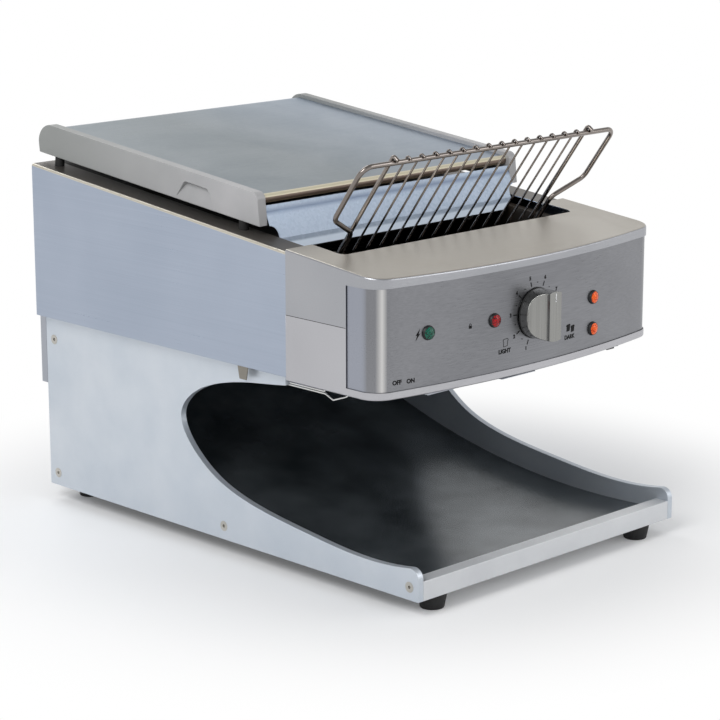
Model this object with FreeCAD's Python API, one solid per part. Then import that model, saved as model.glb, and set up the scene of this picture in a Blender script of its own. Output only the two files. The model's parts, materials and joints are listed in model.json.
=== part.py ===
import FreeCAD, Part
import math
import os

# Conveyor toaster. Set-out frame: x across, y back from the front faces of the base panels,
# z up from the underside of the base panels. Millimetres and degrees.

# Overall
width = 483.0
depth = 684.0
foot_height = 20.0
base_inset = 14.5
cover_depth = 16.0
base_height = 227.5
panel_wall = 8.5
seam_y = 198.0
seam_height = 146.5
slope = 6.0
sheet = 1.2
thick_sheet = 1.5
overrun = 60.0
seat_gap = 0.3
shaft_gap = 0.05

# Base panels
arm_lip = 4.3
nose_lift = 37.7
nose_bend = 27.0
nose_back = 15.0
nose_shares = (0.28, 0.74)
arm_cover = 17.0
arm_depth = 15.3
# Shares of the panel's length and of its height, from the nose round towards the upper arm
cutout_shares = ((0.090, 0.148), (0.284, 0.188), (0.451, 0.273), (0.557, 0.430), (0.602, 0.659),
                 (0.575, 0.763), (0.524, 0.843), (0.427, 0.912))

# Base fittings
bar_depth = 18.5
bar_height = 23.4
ledge_depth = 26.0
ledge_thick = 3.5
rod_radius = 8.0
rod_low = 17.0
rod_front_y = 327.0
rod_rear_inset = 16.0
rod_drop = 32.5
screw_front_y = 14.0
screw_front_z = 15.5
screw_radius = 3.0
screw_head = 6.3
screw_cone = 3.3
screw_length = 24.0
socket_radius = 2.3
socket_depth = 2.6
foot_top = 18.0
foot_bottom = 14.0
foot_inset = 45.0
foot_front = 21.5
foot_rear = 25.0
foot_recess = 7.0
foot_recess_depth = 6.0
plate_thick = 3.0
plate_width = 62.0
plate_length = 48.0

# Toast slide
slide_low_y = 105.0
slide_low_z = 8.5
slide_radius = 1050.0
slide_gap = 1.87
slide_rear_radius = 275.0
slide_end_angle = 88.0
slide_front_y = 27.0
slide_flange = 6.5

# Casing
flange = 37.5
foot_flange = 20.0
fold = 2.5
cover_drop = 92.2
cover_rise = 265.0
cover_corner = 4.0
vent_length = 46.0
vent_width = 4.0
vent_pitch = 11.0
vent_count = 9
gland_radius = 6.0
gland_length = 16.0
gland_inset = 77.0
vent_screw_radius = 3.2
vent_screw_head = 1.8
catch_width = 19.0
catch_foot = 12.0
catch_drop = 17.5
catch_y = 269.0
catch_in = 5.0

# Front
bow_front = 29.5
bow_radius = 1184.0
corner_radius = 28.0
fascia_rise = 4.9
fascia_height = 117.6
fascia_inset = 1.75
fascia_end = 100.0
fascia_lap = 5.0
side_seam_rise = 73.5
cover_proud = 3.2
mouth_inset = 42.0
mouth_front = 147.0
mouth_corner = 9.0
deflector_back = 55.3

# Controls
knob_rise = 59.6
knob_radius = 29.5
knob_front = 0.5
grip_half = 10.0
scoop_radius = 18.0
pointer_width = 1.6
pointer_length = 10.0
pointer_depth = 0.8
spindle_radius = 3.0
regulator_width = 46.0
regulator_depth = 30.0
lamp_row_rise = 61.1
lamp_low_rise = 22.6
lamp_green_inset = 73.5
lamp_red_gap = 39.5
lamp_amber_inset = 133.0
bezel_radius = 8.75
bezel_depth = 3.2
lens_radius = 6.9
lens_rise = 2.6
lamp_body = 22.0
switch_inset = 19.5
switch_y = 131.0
switch_length = 24.0
switch_width = 21.0
switch_depth = 24.0
switch_bezel = 1.6
rocker_length = 17.0
rocker_width = 14.0
rocker_rise = 3.2
mode_inset = 81.5
mode_y = 58.0
guard_wire = 1.2
guard_drop = 10.2
guard_dip = 5.2
guard_bend = 3.0
guard_rear = 22.0
guard_low = 9.0
guard_front = 14.0
guard_lift = 3.0

# Warming top, measured along and square to the casing's slope from the seam
cap_low = 11.4
cap_high = 49.6
cap_width = 13.0
cap_inset = 18.5
cap_front = 64.5
cap_rear_gap = 5.0
cap_lean = 6.0
cap_brow = 10.0
cap_round = 24.0
cap_rim = 4.8
recess_front = 144.0
recess_length = 71.0
recess_height = 24.0
recess_slant = 14.5
recess_round = 5.0
recess_depth = 6.5
recess_foot = 1.5
roll_radius = 5.5
roll_s = 81.0
plate_drop = 30.0
plate_round = 20.0
rest_radius = 6.0
rest_inset = 34.0

# Deflector
deflector_sheet = 0.8
deflector_top_y = 266.0
deflector_rise = 41.0
deflector_crease = 8.0
deflector_mid_drop = 38.0
deflector_mid_back = 15.0
deflector_low_drop = 49.0
deflector_low_back = 27.0
deflector_step = 23.0
deflector_neck = 10.0
deflector_taper = 26.0

# Feed rack, measured down its own slope from the centre of its top bar
rack_y = 97.3
rack_rise = 104.8
rack_angle = 54.0
rack_wire = 3.0
rack_inset = 25.5
rack_neck_inset = 13.2
rack_shoulder = 80.0
rack_neck = 107.0
rack_length = 210.0
rack_bend = 14.0
rack_inner_wire = 2.5
rack_thin_wire = 1.3
rack_gap_count = 15
rack_bump = 6.0
rest_rod_radius = 3.0
rest_rod_down = 146.0
shelf_length = 22.0

# Conveyor
chamber_inset = 55.5
chamber_front = 98.0
chamber_rear_gap = 40.0
idler_y = 131.0
strand_pitch = 19.0
sprocket_teeth = 8
drive_clear = 75.0
belt_rise = 38.8
strand_wire = 1.25
link_wire = 0.9
strand_inset = 16.0
shaft_radius = 6.0
shaft_end = 17.0
sprocket_wall = 4.0
sprocket_inset = 20.0
hub_radius = 10.0
hub_width = 14.0
bush_radius = 11.0
bush_flange = 15.0
bush_flange_wall = 2.0
bush_length = 9.0
chain_pitch = 6.35
wheel_teeth = 24
pinion_teeth = 12
chain_inset = 14.0
chain_wall = 2.4
motor_ahead = 109.0
motor_rise = 42.0
motor_size = 56.0
motor_depth = 26.0
motor_radius = 20.0
motor_shaft = 4.0
guide_width = 20.0

# Heaters
element_radius = 4.0
element_count = 5
upper_first = 310.0
upper_rear_gap = 110.0
upper_rise = 80.0
lower_first = 185.0
lower_rear_gap = 64.0
lower_rise = 4.0
reflector_gap = 12.0
reflector_lip = 9.0
insulator_radius = 7.0
insulator_length = 8.0

# Crumb tray
tray_inset = 42.0
tray_front = 66.0
tray_rear_gap = 128.0
tray_depth = 10.0
tray_wall = 1.0
tray_drop = 5.0
rail_lip = 8.0
rail_front = 200.0
window_front = 208.0
window_inset = 6.0
drop_reach = 80.0
drop_gap = 12.0

# Inner fittings
fan_size = 50.0
fan_depth = 15.0
fan_inset = 27.5
fan_rise = 129.5
fan_hub = 9.0
fan_tip = 22.0
fan_blades = 7
blade_wall = 1.6
board_y = 250.0
board_rise = 53.8
board_length = 100.0
board_height = 54.0
post_radius = 3.0
post_length = 6.0
block_rear_gap = 168.0
block_length = 60.0
block_size = 20.0
blade_slant = 35.0
tooth_shares = (0.12, 0.35, 0.65, 0.88)
# Place, length and height of each component as shares of the board, and its depth as a share of its height
component_shares = ((0.08, 0.55, 0.32, 0.34, 0.30), (0.50, 0.60, 0.16, 0.22, 0.18), (0.72, 0.60, 0.16, 0.22, 0.18),
                    (0.10, 0.15, 0.22, 0.24, 0.22), (0.45, 0.16, 0.40, 0.12, 0.08))

# Worked out across
half = width / 2
base_half = half - base_inset
inner_half = base_half - panel_wall
chamber_half = half - chamber_inset
cap_outer = half - cap_inset
mouth_half = half - mouth_inset
rack_half = half - rack_inset
rack_neck_half = chamber_half - rack_neck_inset
tray_half = chamber_half - tray_inset
window_half = tray_half - window_inset
strand_half = chamber_half - strand_inset
sprocket_x = strand_half - sprocket_inset
shaft_left = -chamber_half - shaft_end
chain_x = half - chain_inset
fan_x = half - fan_inset
gland_x = base_half - gland_inset
lamp_green_x = lamp_green_inset - half
lamp_red_x = -knob_radius - lamp_red_gap
lamp_amber_x = half - lamp_amber_inset
switch_x = switch_inset - half
mode_x = half - mode_inset

# Worked out upwards
casing_top = base_height + seam_height
housing_low = base_height - arm_lip
floor_top = base_height + sheet + thick_sheet
rod_high = base_height - rod_drop
cover_low = base_height - cover_drop
tray_top = base_height - tray_drop
fascia_low = base_height + fascia_rise
fascia_high = fascia_low + fascia_height
side_seam = base_height + side_seam_rise
knob_z = fascia_low + knob_rise
lamp_row = fascia_low + lamp_row_rise
lamp_low = fascia_low + lamp_low_rise
belt_z = floor_top + belt_rise
motor_z = belt_z + motor_rise
upper_z = belt_z + upper_rise
lower_z = belt_z + lower_rise
board_z = floor_top + board_rise
fan_z = base_height + fan_rise
deflector_top_z = casing_top + deflector_rise
rack_z = casing_top + rack_rise

# Worked out towards the back
base_length = depth - cover_depth
arm_front = seam_y + arm_cover
cover_back = depth - vent_screw_head
cap_back = depth - seam_y - cap_rear_gap
rod_rear_y = base_length - rod_rear_inset
chamber_back = base_length - chamber_rear_gap
tray_back = base_length - tray_rear_gap
drop_front = base_length - drop_reach
drop_back = base_length - drop_gap
block_y = base_length - block_rear_gap
strand_radius = strand_pitch / (2 * math.sin(math.pi / sprocket_teeth))
run_steps = int((chamber_back - drive_clear - idler_y) / strand_pitch)
drive_y = idler_y + run_steps * strand_pitch
motor_y = drive_y - motor_ahead
upper_pitch = (base_length - upper_rear_gap - upper_first) / (element_count - 1)
lower_pitch = (drive_y - lower_rear_gap - lower_first) / (element_count - 1)
slide_end_y = rod_rear_y + rod_radius - thick_sheet - slide_gap
slide_run = slide_end_y - slide_low_y - slide_rear_radius * math.sin(math.radians(slide_end_angle))
slide_turn_y = slide_low_y + slide_run * slide_radius / (slide_radius - slide_rear_radius)


def V(x, y, z):
    return FreeCAD.Vector(x, y, z)


def box(x0, x1, y0, y1, z0, z1):
    return Part.makeBox(x1 - x0, y1 - y0, z1 - z0, V(x0, y0, z0))


def rod(start, end, radius):
    """a cylinder from one point to another"""
    way = end - start
    return Part.makeCylinder(radius, way.Length, start, way)


def rod_x(x0, x1, y, z, radius):
    return rod(V(x0, y, z), V(x1, y, z), radius)


def rod_y(x, y0, y1, z, radius):
    return rod(V(x, y0, z), V(x, y1, z), radius)


def rod_z(x, y, z0, z1, radius):
    return rod(V(x, y, z0), V(x, y, z1), radius)


def join(shapes):
    """one solid out of touching shapes"""
    whole = shapes[0].fuse(shapes[1:])
    return whole.removeSplitter()


def group(shapes):
    """separate solids that share a node"""
    return Part.makeCompound(shapes)


def both_sides(shape):
    """a solid and its mirror image across the middle"""
    return group([shape, mirrored(shape)])


def mirrored(shape):
    return shape.mirror(V(0, 0, 0), V(1, 0, 0))


def place(plane, pair, level):
    """a point of an outline in plane yz, xz or xy, at a level on the third axis"""
    a, b = pair
    if plane == "yz":
        return V(level, a, b)
    if plane == "xz":
        return V(a, level, b)
    return V(a, b, level)


def outline_edges(plane, start, steps, level):
    """edges from start: a pair is a line's end, two pairs an arc's middle and end, more a smooth curve"""
    edges = []
    here = place(plane, start, level)
    for step in steps:
        if isinstance(step[0], tuple) and len(step) > 2:
            spots = [here] + [place(plane, pair, level) for pair in step]
            there = spots[-1]
            curve = Part.BSplineCurve()
            curve.interpolate(spots)
            edges.append(curve.toShape())
        elif isinstance(step[0], tuple):
            middle = place(plane, step[0], level)
            there = place(plane, step[1], level)
            edges.append(Part.Arc(here, middle, there).toShape())
        else:
            there = place(plane, step, level)
            edges.append(Part.makeLine(here, there))
        here = there
    return edges


def slab(plane, start, steps, low, high):
    """a closed outline drawn at low and carried to high"""
    edges = outline_edges(plane, start, list(steps) + [start], low)
    way = place(plane, (0, 0), high) - place(plane, (0, 0), low)
    return Part.Face(Part.Wire(edges)).extrude(way)


def rounded_path(points, radius, closed=False):
    """edges through points, with a tangent arc of the radius at each turn"""
    count = len(points)
    turns = range(count) if closed else range(1, count - 1)
    starts = list(points)
    ends = list(points)
    arcs = {}
    for i in turns:
        before = points[i - 1]
        corner = points[i]
        after = points[(i + 1) % count]
        back = before - corner
        on = after - corner
        back.normalize()
        on.normalize()
        opening = back.getAngle(on)
        cut = radius / math.tan(opening / 2)
        starts[i] = corner + back * cut
        ends[i] = corner + on * cut
        middle = back + on
        middle.normalize()
        reach = radius / math.sin(opening / 2) - radius
        arcs[i] = Part.Arc(starts[i], corner + middle * reach, ends[i]).toShape()
    edges = []
    for i in range(count):
        if i in arcs:
            edges.append(arcs[i])
        if closed or i < count - 1:
            edges.append(Part.makeLine(ends[i], starts[(i + 1) % count]))
    return edges


def rounded_slab(plane, pairs, radius, low, high):
    """a closed outline with rounded corners, carried from low to high"""
    points = [place(plane, pair, low) for pair in pairs]
    way = place(plane, (0, 0), high) - place(plane, (0, 0), low)
    return Part.Face(Part.Wire(rounded_path(points, radius, True))).extrude(way)


def bent_wire(points, bend, radius, closed=False):
    """round wire along a path with tangent bends"""
    path = Part.Wire(rounded_path(points, bend, closed))
    first = path.Edges[0]
    start = first.valueAt(first.FirstParameter)
    way = first.tangentAt(first.FirstParameter)
    ring = Part.Wire([Part.makeCircle(radius, start, way)])
    return path.makePipeShell([ring], True, False)


def folded(plane, pairs, wall, bend, low, high):
    """folded sheet: pairs are its outer face, the wall lies to their left"""
    outer = [place(plane, pair, low) for pair in pairs]
    inner_pairs = left_of(pairs, wall)
    inner = [place(plane, pair, low) for pair in inner_pairs]
    out_edges = fold_path(plane, pairs, bend, wall, False, low)
    in_edges = fold_path(plane, inner_pairs, bend, wall, True, low)
    caps = [Part.makeLine(outer[0], inner[0]), Part.makeLine(outer[-1], inner[-1])]
    wire = Part.Wire(Part.__sortEdges__(out_edges + in_edges + caps))
    way = place(plane, (0, 0), high) - place(plane, (0, 0), low)
    return Part.Face(wire).extrude(way)


def left_of(pairs, wall):
    """corners of a path that runs beside another, a wall away on its left"""
    lines = []
    for (a0, b0), (a1, b1) in zip(pairs, pairs[1:]):
        span = math.hypot(a1 - a0, b1 - b0)
        side = ((b0 - b1) / span * wall, (a1 - a0) / span * wall)
        lines.append((a0 + side[0], b0 + side[1], (a1 - a0) / span, (b1 - b0) / span))
    shifted = [lines[0][:2]]
    for (p, q, u, v), (r, s, w, t) in zip(lines, lines[1:]):
        along = ((r - p) * t - (s - q) * w) / (u * t - v * w)
        shifted.append((p + u * along, q + v * along))
    end = lines[-1]
    span = math.hypot(pairs[-1][0] - pairs[-2][0], pairs[-1][1] - pairs[-2][1])
    shifted.append((end[0] + end[2] * span, end[1] + end[3] * span))
    return shifted


def fold_path(plane, pairs, bend, wall, inner, level):
    """a rounded path whose turns to the left are tighter on the inner face"""
    points = [place(plane, pair, level) for pair in pairs]
    edges = []
    here = points[0]
    for i in range(1, len(points) - 1):
        (a, b), (c, d), (e, f) = pairs[i - 1], pairs[i], pairs[i + 1]
        left = (c - a) * (f - d) - (d - b) * (e - c) > 0
        radius = bend if left == inner else bend + wall
        back = points[i - 1] - points[i]
        on = points[i + 1] - points[i]
        back.normalize()
        on.normalize()
        opening = back.getAngle(on)
        cut = radius / math.tan(opening / 2)
        middle = back + on
        middle.normalize()
        reach = radius / math.sin(opening / 2) - radius
        start = points[i] + back * cut
        end = points[i] + on * cut
        edges.append(Part.makeLine(here, start))
        edges.append(Part.Arc(start, points[i] + middle * reach, end).toShape())
        here = end
    edges.append(Part.makeLine(here, points[-1]))
    return edges


def tilted(shape):
    """from level, measured from the seam, to the casing's slope"""
    shape.rotate(V(0, 0, 0), V(1, 0, 0), slope)
    shape.translate(V(0, seam_y, casing_top))
    return shape


def slope_z(y):
    """height of the casing's top at y"""
    return casing_top + (y - seam_y) * math.tan(math.radians(slope))


def below_slope(lift):
    """everything under the casing's top, moved by lift"""
    under = box(-width, width, -depth, depth, -depth, lift)
    return tilted(under)


# Base

def screw_places():
    """centres of the four screws in each base panel, as y and z"""
    return ((screw_front_y, screw_front_z), (rod_front_y, rod_low),
            (rod_rear_y, rod_low), (rod_rear_y, rod_high))


def screw_body(y, z):
    """countersunk screw driven into the right-hand panel"""
    cone = Part.makeCone(screw_head, screw_radius, screw_cone, V(base_half, y, z), V(-1, 0, 0))
    return join([cone, rod_x(base_half, base_half - screw_length, y, z, screw_radius)])


def base_panel():
    rim = tuple((a * base_length, b * housing_low) for a, b in reversed(cutout_shares))
    across, up = nose_shares
    nose = (nose_back * across, nose_bend + (nose_lift - nose_bend) * up)
    steps = [(base_length, 0), (base_length, base_height), (arm_front, base_height),
             (arm_front, base_height - arm_depth), rim + ((nose_back, nose_lift),), (nose, (0, nose_bend))]
    panel = slab("yz", (0, 0), steps, inner_half, base_half)
    for y, z in screw_places():
        panel = panel.cut(screw_body(y, z))
    return panel


def base_screws():
    screws = []
    for y, z in screw_places():
        corners = [V(base_half - socket_depth, y + socket_radius * math.cos(turn),
                     z + socket_radius * math.sin(turn))
                   for turn in [i * math.pi / 3 for i in range(7)]]
        socket = Part.Face(Part.makePolygon(corners)).extrude(V(overrun, 0, 0))
        screw = screw_body(y, z).cut(socket)
        screws += [screw, mirrored(screw)]
    return group(screws)


def tie_rods():
    rods = []
    for y, z in screw_places()[1:]:
        bar = rod_x(-inner_half, inner_half, y, z, rod_radius)
        hole = screw_body(y, z)
        rods.append(bar.cut(hole).cut(mirrored(hole)))
    return group(rods)


def front_bar():
    bar = box(-inner_half, inner_half, 0, bar_depth, 0, bar_height)
    ledge = box(-inner_half, inner_half, bar_depth, bar_depth + ledge_depth, 0, ledge_thick)
    hole = screw_body(screw_front_y, screw_front_z)
    return join([bar, ledge]).cut(hole).cut(mirrored(hole))


def slide_point(angle, drop, rear=False):
    """a point on the slide's curve, a drop below its upper face"""
    turn = math.asin((slide_turn_y - slide_low_y) / slide_radius)
    shift = slide_radius - slide_rear_radius if rear else 0
    radius = slide_rear_radius if rear else slide_radius
    centre_y = slide_low_y + shift * math.sin(turn)
    centre_z = slide_low_z + slide_radius - shift * math.cos(turn)
    return (centre_y + (radius + drop) * math.sin(angle),
            centre_z - (radius + drop) * math.cos(angle))


def slide_band(upper, lower, x0, x1):
    first = math.asin((slide_front_y - slide_low_y) / slide_radius)
    turn = math.asin((slide_turn_y - slide_low_y) / slide_radius)
    last = math.radians(slide_end_angle)
    early = (first + turn) / 2
    late = (turn + last) / 2
    steps = [(slide_point(early, upper), slide_point(turn, upper)),
             (slide_point(late, upper, True), slide_point(last, upper, True)),
             slide_point(last, lower, True),
             (slide_point(late, lower, True), slide_point(turn, lower)),
             (slide_point(early, lower), slide_point(first, lower))]
    return slab("yz", slide_point(first, upper), steps, x0, x1)


def toast_slide():
    reach = inner_half - seat_gap
    first = math.asin((slide_front_y - slide_low_y) / slide_radius)
    front_z = slide_point(first, thick_sheet)[1]
    lip = box(-reach, reach, slide_front_y, slide_front_y + thick_sheet, ledge_thick, front_z + sheet)
    return join([slide_band(0, thick_sheet, -reach, reach),
                 slide_band(0, slide_flange, reach - thick_sheet, reach),
                 slide_band(0, slide_flange, -reach, thick_sheet - reach), lip])


def base_rear_panel():
    front = rod_rear_y + rod_radius
    wall = box(-inner_half, inner_half, front, front + thick_sheet, bar_height, base_height)
    wing = box(inner_half - thick_sheet, inner_half, front, base_length, bar_height, base_height)
    return join([wall, wing, mirrored(wing)])


def rubber_feet():
    feet = []
    for y in (foot_front, base_length - foot_rear):
        foot = Part.makeCone(foot_bottom, foot_top, foot_height, V(base_half - foot_inset, y, -foot_height))
        recess = rod_z(base_half - foot_inset, y, -foot_height, foot_recess_depth - foot_height, foot_recess)
        foot = foot.cut(recess)
        feet += [foot, mirrored(foot)]
    return group(feet)


def rear_foot_plates():
    plate = box(inner_half - plate_width, inner_half, base_length - plate_length, base_length, 0, plate_thick)
    ear_back = rod_rear_y - rod_radius - plate_thick
    ear = box(inner_half - plate_thick, inner_half, base_length - plate_length, ear_back, 0, bar_height)
    return both_sides(join([plate, ear]))


# Chassis and casing

def chassis_floor():
    reach = half - fascia_inset - sheet - seat_gap
    floor = box(-reach, reach, chamber_front - bush_radius, base_length - sheet - seat_gap,
                floor_top - thick_sheet, floor_top)
    window = box(-window_half, window_half, window_front, tray_back - bush_radius,
                 base_height - overrun, floor_top + overrun)
    drop = box(-inner_half, inner_half, drop_front, drop_back, base_height - overrun, floor_top + overrun)
    return floor.cut(window).cut(drop).cut(switch_block(switch_x, switch_y, seat_gap))


def chamber_plate():
    """right-hand side plate of the heating chamber, with flanges below and above"""
    outer = chamber_half + thick_sheet
    lift = -bush_length
    wall = box(chamber_half, outer, chamber_front, chamber_back, floor_top, casing_top + overrun)
    wall = wall.common(below_slope(lift))
    foot = box(chamber_half, outer + bush_length, chamber_front, chamber_back, floor_top, floor_top + thick_sheet)
    lip = box(chamber_half, outer + bush_radius, chamber_front, chamber_back,
              floor_top, casing_top + overrun)
    lip = lip.common(below_slope(lift)).cut(below_slope(lift - thick_sheet))
    plate = join([wall, foot, lip])
    for y, z, radius in chamber_holes():
        plate = plate.cut(rod_x(chamber_half - overrun, outer + overrun, y, z, radius))
    return plate


def chamber_holes():
    """y, z and radius of what passes through both side plates"""
    rest_y, rest_z = rack_spot(rest_rod_down, -rack_wire - rest_rod_radius - seat_gap)
    holes = [(idler_y, belt_z, bush_radius), (drive_y, belt_z, bush_radius), (rest_y, rest_z, rest_rod_radius)]
    for y, z in element_places(upper_first, upper_pitch, upper_z) + element_places(lower_first, lower_pitch, lower_z):
        holes.append((y, z, insulator_radius))
    return holes


def chamber_front_liner():
    wall = box(-chamber_half, chamber_half, chamber_front, chamber_front + sheet, floor_top, casing_top)
    wall = wall.common(below_slope(-bush_length))
    foot = box(-chamber_half, chamber_half, chamber_front - thick_sheet - bush_flange_wall * 2,
               chamber_front + sheet, floor_top, floor_top + sheet)
    return join([wall, foot])


def casing_side():
    """right-hand side with a flange along its top and one along its foot"""
    pairs = [(half, -depth / 2), (half, 0), (half - flange, 0)]
    skin = tilted(folded("xz", pairs, sheet, fold, -overrun, depth))
    room = box(-width, width, seam_y, base_length, base_height, casing_top + depth)
    foot = box(half - foot_flange, half, seam_y, base_length, base_height, base_height + sheet)
    return join([skin.common(room), foot])


def casing_back():
    reach = half - 2 * sheet
    wall = box(-reach, reach, base_length - sheet, base_length, base_height + sheet, casing_top + depth)
    wall = wall.common(below_slope(-2 * sheet))
    return wall.cut(rod_y(fan_x, 0, depth, fan_z, fan_tip))


def casing_roof():
    reach = half - sheet - fold
    roof = tilted(box(-reach, reach, deflector_back, depth, -2 * sheet, -sheet))
    return roof.common(box(-width, width, seam_y, base_length, base_height, casing_top + depth))


def rear_cover():
    top = cover_low + cover_rise
    outer = box(-base_half, base_half, base_length, cover_back, cover_low, top)
    outer = soften(outer, cover_corner, lambda e: rear_upright(e, cover_back))
    inner = box(sheet - base_half, base_half - sheet, base_length - overrun, cover_back - sheet,
                cover_low + sheet, top - sheet)
    shell = outer.cut(inner)
    for i in range(vent_count):
        x = gland_x / 2 + i * vent_pitch
        slot = box(x, x + vent_width, base_length, depth, top - 2 * vent_length, top - vent_length)
        shell = shell.cut(slot).cut(mirrored(slot))
    for x, z in cover_screw_places():
        shell = shell.cut(rod_y(x, base_length, depth, z, vent_screw_radius / 2))
    return shell.cut(rod_z(-gland_x, (base_length + cover_back) / 2, 0, cover_low + overrun / 2, gland_radius))


def rear_upright(edge, back):
    """true for the two upright edges at a back face"""
    box_of = edge.BoundBox
    return box_of.ZLength > overrun and box_of.YMin > back - sheet


def soften(shape, radius, wanted):
    return shape.makeFillet(radius, [edge for edge in shape.Edges if wanted(edge)])


def cover_screw_places():
    rows = (cover_low + foot_flange, cover_low + cover_rise / 2, cover_low + cover_rise - foot_flange)
    return [(side * (base_half - foot_flange), z) for side in (-1, 1) for z in rows]


def rear_cover_screws():
    screws = []
    for x, z in cover_screw_places():
        head = rod_y(x, cover_back, depth, z, vent_screw_radius)
        screws.append(join([head, rod_y(x, base_length, cover_back, z, vent_screw_radius / 2)]))
    return group(screws)


def cable_gland():
    y = (base_length + cover_back) / 2
    barrel = rod_z(-gland_x, y, cover_low - gland_length, cover_low + gland_radius, gland_radius)
    collar = rod_z(-gland_x, y, cover_low - gland_radius, cover_low, gland_radius + sheet / 2)
    nut = rod_z(-gland_x, y, cover_low - gland_length, cover_low - gland_length + gland_radius / 2,
                gland_radius + sheet / 2)
    bore = rod_z(-gland_x, y, 0, cover_low + overrun, gland_radius / 2)
    return join([barrel, collar, nut]).cut(bore)


def casing_catch():
    inset = (catch_width - catch_foot) / 2
    top = base_height
    x = catch_in - half
    steps = [(catch_y + catch_width, top), (catch_y + catch_width - inset, top - catch_drop),
             (catch_y + inset, top - catch_drop)]
    tab = slab("yz", (catch_y, top), steps, x, x + thick_sheet)
    foot = box(x, x + 2 * catch_in - sheet, catch_y, catch_y + catch_width, top - thick_sheet, top)
    return join([tab, foot])


# Front

def front_shape(inset, low, high, back):
    """the front's plan: straight sides, rounded corners and a bowed front, inset all round"""
    reach = half - inset
    centre_y = bow_front + bow_radius
    far = bow_radius - corner_radius
    corner_x = half - corner_radius
    corner_y = centre_y - math.sqrt(far ** 2 - corner_x ** 2)
    radius = corner_radius - inset
    way = (-corner_x / far, (corner_y - centre_y) / far)
    size = math.hypot(way[0] - 1, way[1])
    middle = (corner_x - (way[0] - 1) / size * radius, corner_y + way[1] / size * radius)
    meet = (-way[0] * (bow_radius - inset), centre_y + way[1] * (bow_radius - inset))
    steps = [(-reach, corner_y), ((-middle[0], middle[1]), (-meet[0], meet[1])),
             ((0, bow_front + inset), meet), (middle, (reach, corner_y)), (reach, back)]
    return slab("xy", (-reach, back), steps, low, high)


def bow_spot(x, out):
    """y at x on the fascia's bow, out from its face, with the turn of the face there"""
    radius = bow_radius - fascia_inset
    turn = math.asin(x / radius)
    return (x + out * math.sin(turn), bow_front + bow_radius - (radius + out) * math.cos(turn), turn)


def front_lower_housing():
    outer = front_shape(0, housing_low, side_seam, seam_y)
    inner = front_shape(sheet, housing_low + sheet, side_seam + overrun, seam_y + overrun)
    window = box(-width, width, -overrun, fascia_end, fascia_low, side_seam + overrun)
    housing = outer.cut(inner).cut(window)
    for x, y in ((switch_x, switch_y), (mode_x, mode_y)):
        housing = housing.cut(switch_block(x, y, seat_gap))
    return housing


def front_top_cover():
    outer = front_shape(0, side_seam, casing_top + overrun, seam_y).common(below_slope(cover_proud))
    inner = front_shape(sheet, side_seam - overrun, casing_top + overrun, seam_y + overrun)
    inner = inner.common(below_slope(cover_proud - sheet))
    window = box(-width, width, -overrun, fascia_end, side_seam - overrun, fascia_high)
    corners = [(-mouth_half, mouth_front), (mouth_half, mouth_front),
               (mouth_half, seam_y + overrun), (-mouth_half, seam_y + overrun)]
    mouth = rounded_slab("xy", corners, mouth_corner, side_seam, casing_top + overrun)
    return outer.cut(inner).cut(window).cut(mouth)


def fascia_panel():
    low = fascia_low - fascia_lap
    high = fascia_high + fascia_lap
    skin = front_shape(fascia_inset, low, high, seam_y)
    skin = skin.cut(front_shape(fascia_inset + sheet, low - overrun, high + overrun, seam_y + overrun))
    skin = skin.common(box(-width, width, -overrun, fascia_end + fascia_lap, low, high))
    skin = skin.cut(rod_y(0, 0, seam_y, knob_z, spindle_radius + seat_gap))
    for x, z in lamp_places():
        skin = skin.cut(at_lamp(rod_y(0, -overrun, overrun, 0, lens_radius + sheet), x, z))
    return skin


# Controls

def lamp_places():
    return ((lamp_green_x, lamp_row), (lamp_red_x, lamp_row),
            (lamp_amber_x, lamp_row), (lamp_amber_x, lamp_low))


def at_lamp(shape, x, z):
    """from the origin, facing -y, to a place on the bowed fascia"""
    spot_x, spot_y, turn = bow_spot(x, 0)
    shape.rotate(V(0, 0, 0), V(0, 0, 1), math.degrees(turn))
    shape.translate(V(spot_x, spot_y, z))
    return shape


def lamp_bezels():
    bezels = []
    for x, z in lamp_places():
        rim = Part.makeCone(bezel_radius, bezel_radius - sheet, bezel_depth, V(0, 0, 0), V(0, -1, 0))
        barrel = rod_y(0, 0, lamp_body, 0, lens_radius + sheet - seat_gap / 2)
        bore = rod_y(0, -overrun, lamp_body - bezel_depth, 0, lens_radius)
        bezels.append(at_lamp(join([rim, barrel]).cut(bore), x, z))
    return group(bezels)


def lamp_lens(x, z):
    round_radius = (lens_radius ** 2 + lens_rise ** 2) / (2 * lens_rise)
    body = rod_y(0, -bezel_depth - lens_rise, bezel_depth, 0, lens_radius)
    dome = Part.makeSphere(round_radius, V(0, round_radius - bezel_depth - lens_rise, 0))
    return at_lamp(body.common(dome), x, z)


def lamp_lenses_amber():
    return group([lamp_lens(x, z) for x, z in lamp_places()[2:]])


def control_knob():
    """round base with two hollows that leave a grip bar across its middle"""
    back = bow_front + fascia_inset - seat_gap
    knob = rod_y(0, knob_front, back, knob_z, knob_radius)
    for side in (-1, 1):
        x = side * (grip_half + scoop_radius)
        scoop = rod_z(x, knob_front, knob_z - overrun, knob_z + overrun, scoop_radius)
        knob = knob.cut(scoop)
    groove = box(-pointer_width / 2, pointer_width / 2, knob_front, knob_front + pointer_depth,
                 knob_z + knob_radius - pointer_length, knob_z + knob_radius)
    bore = rod_y(0, back - scoop_radius / 2, back, knob_z, spindle_radius)
    return knob.cut(groove).cut(bore)


def regulator_front():
    return bow_front + fascia_inset + sheet + seat_gap


def knob_spindle():
    front = bow_front + fascia_inset - seat_gap - scoop_radius / 2
    return rod_y(0, front, regulator_front() + regulator_depth / 2, knob_z, spindle_radius)


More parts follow.
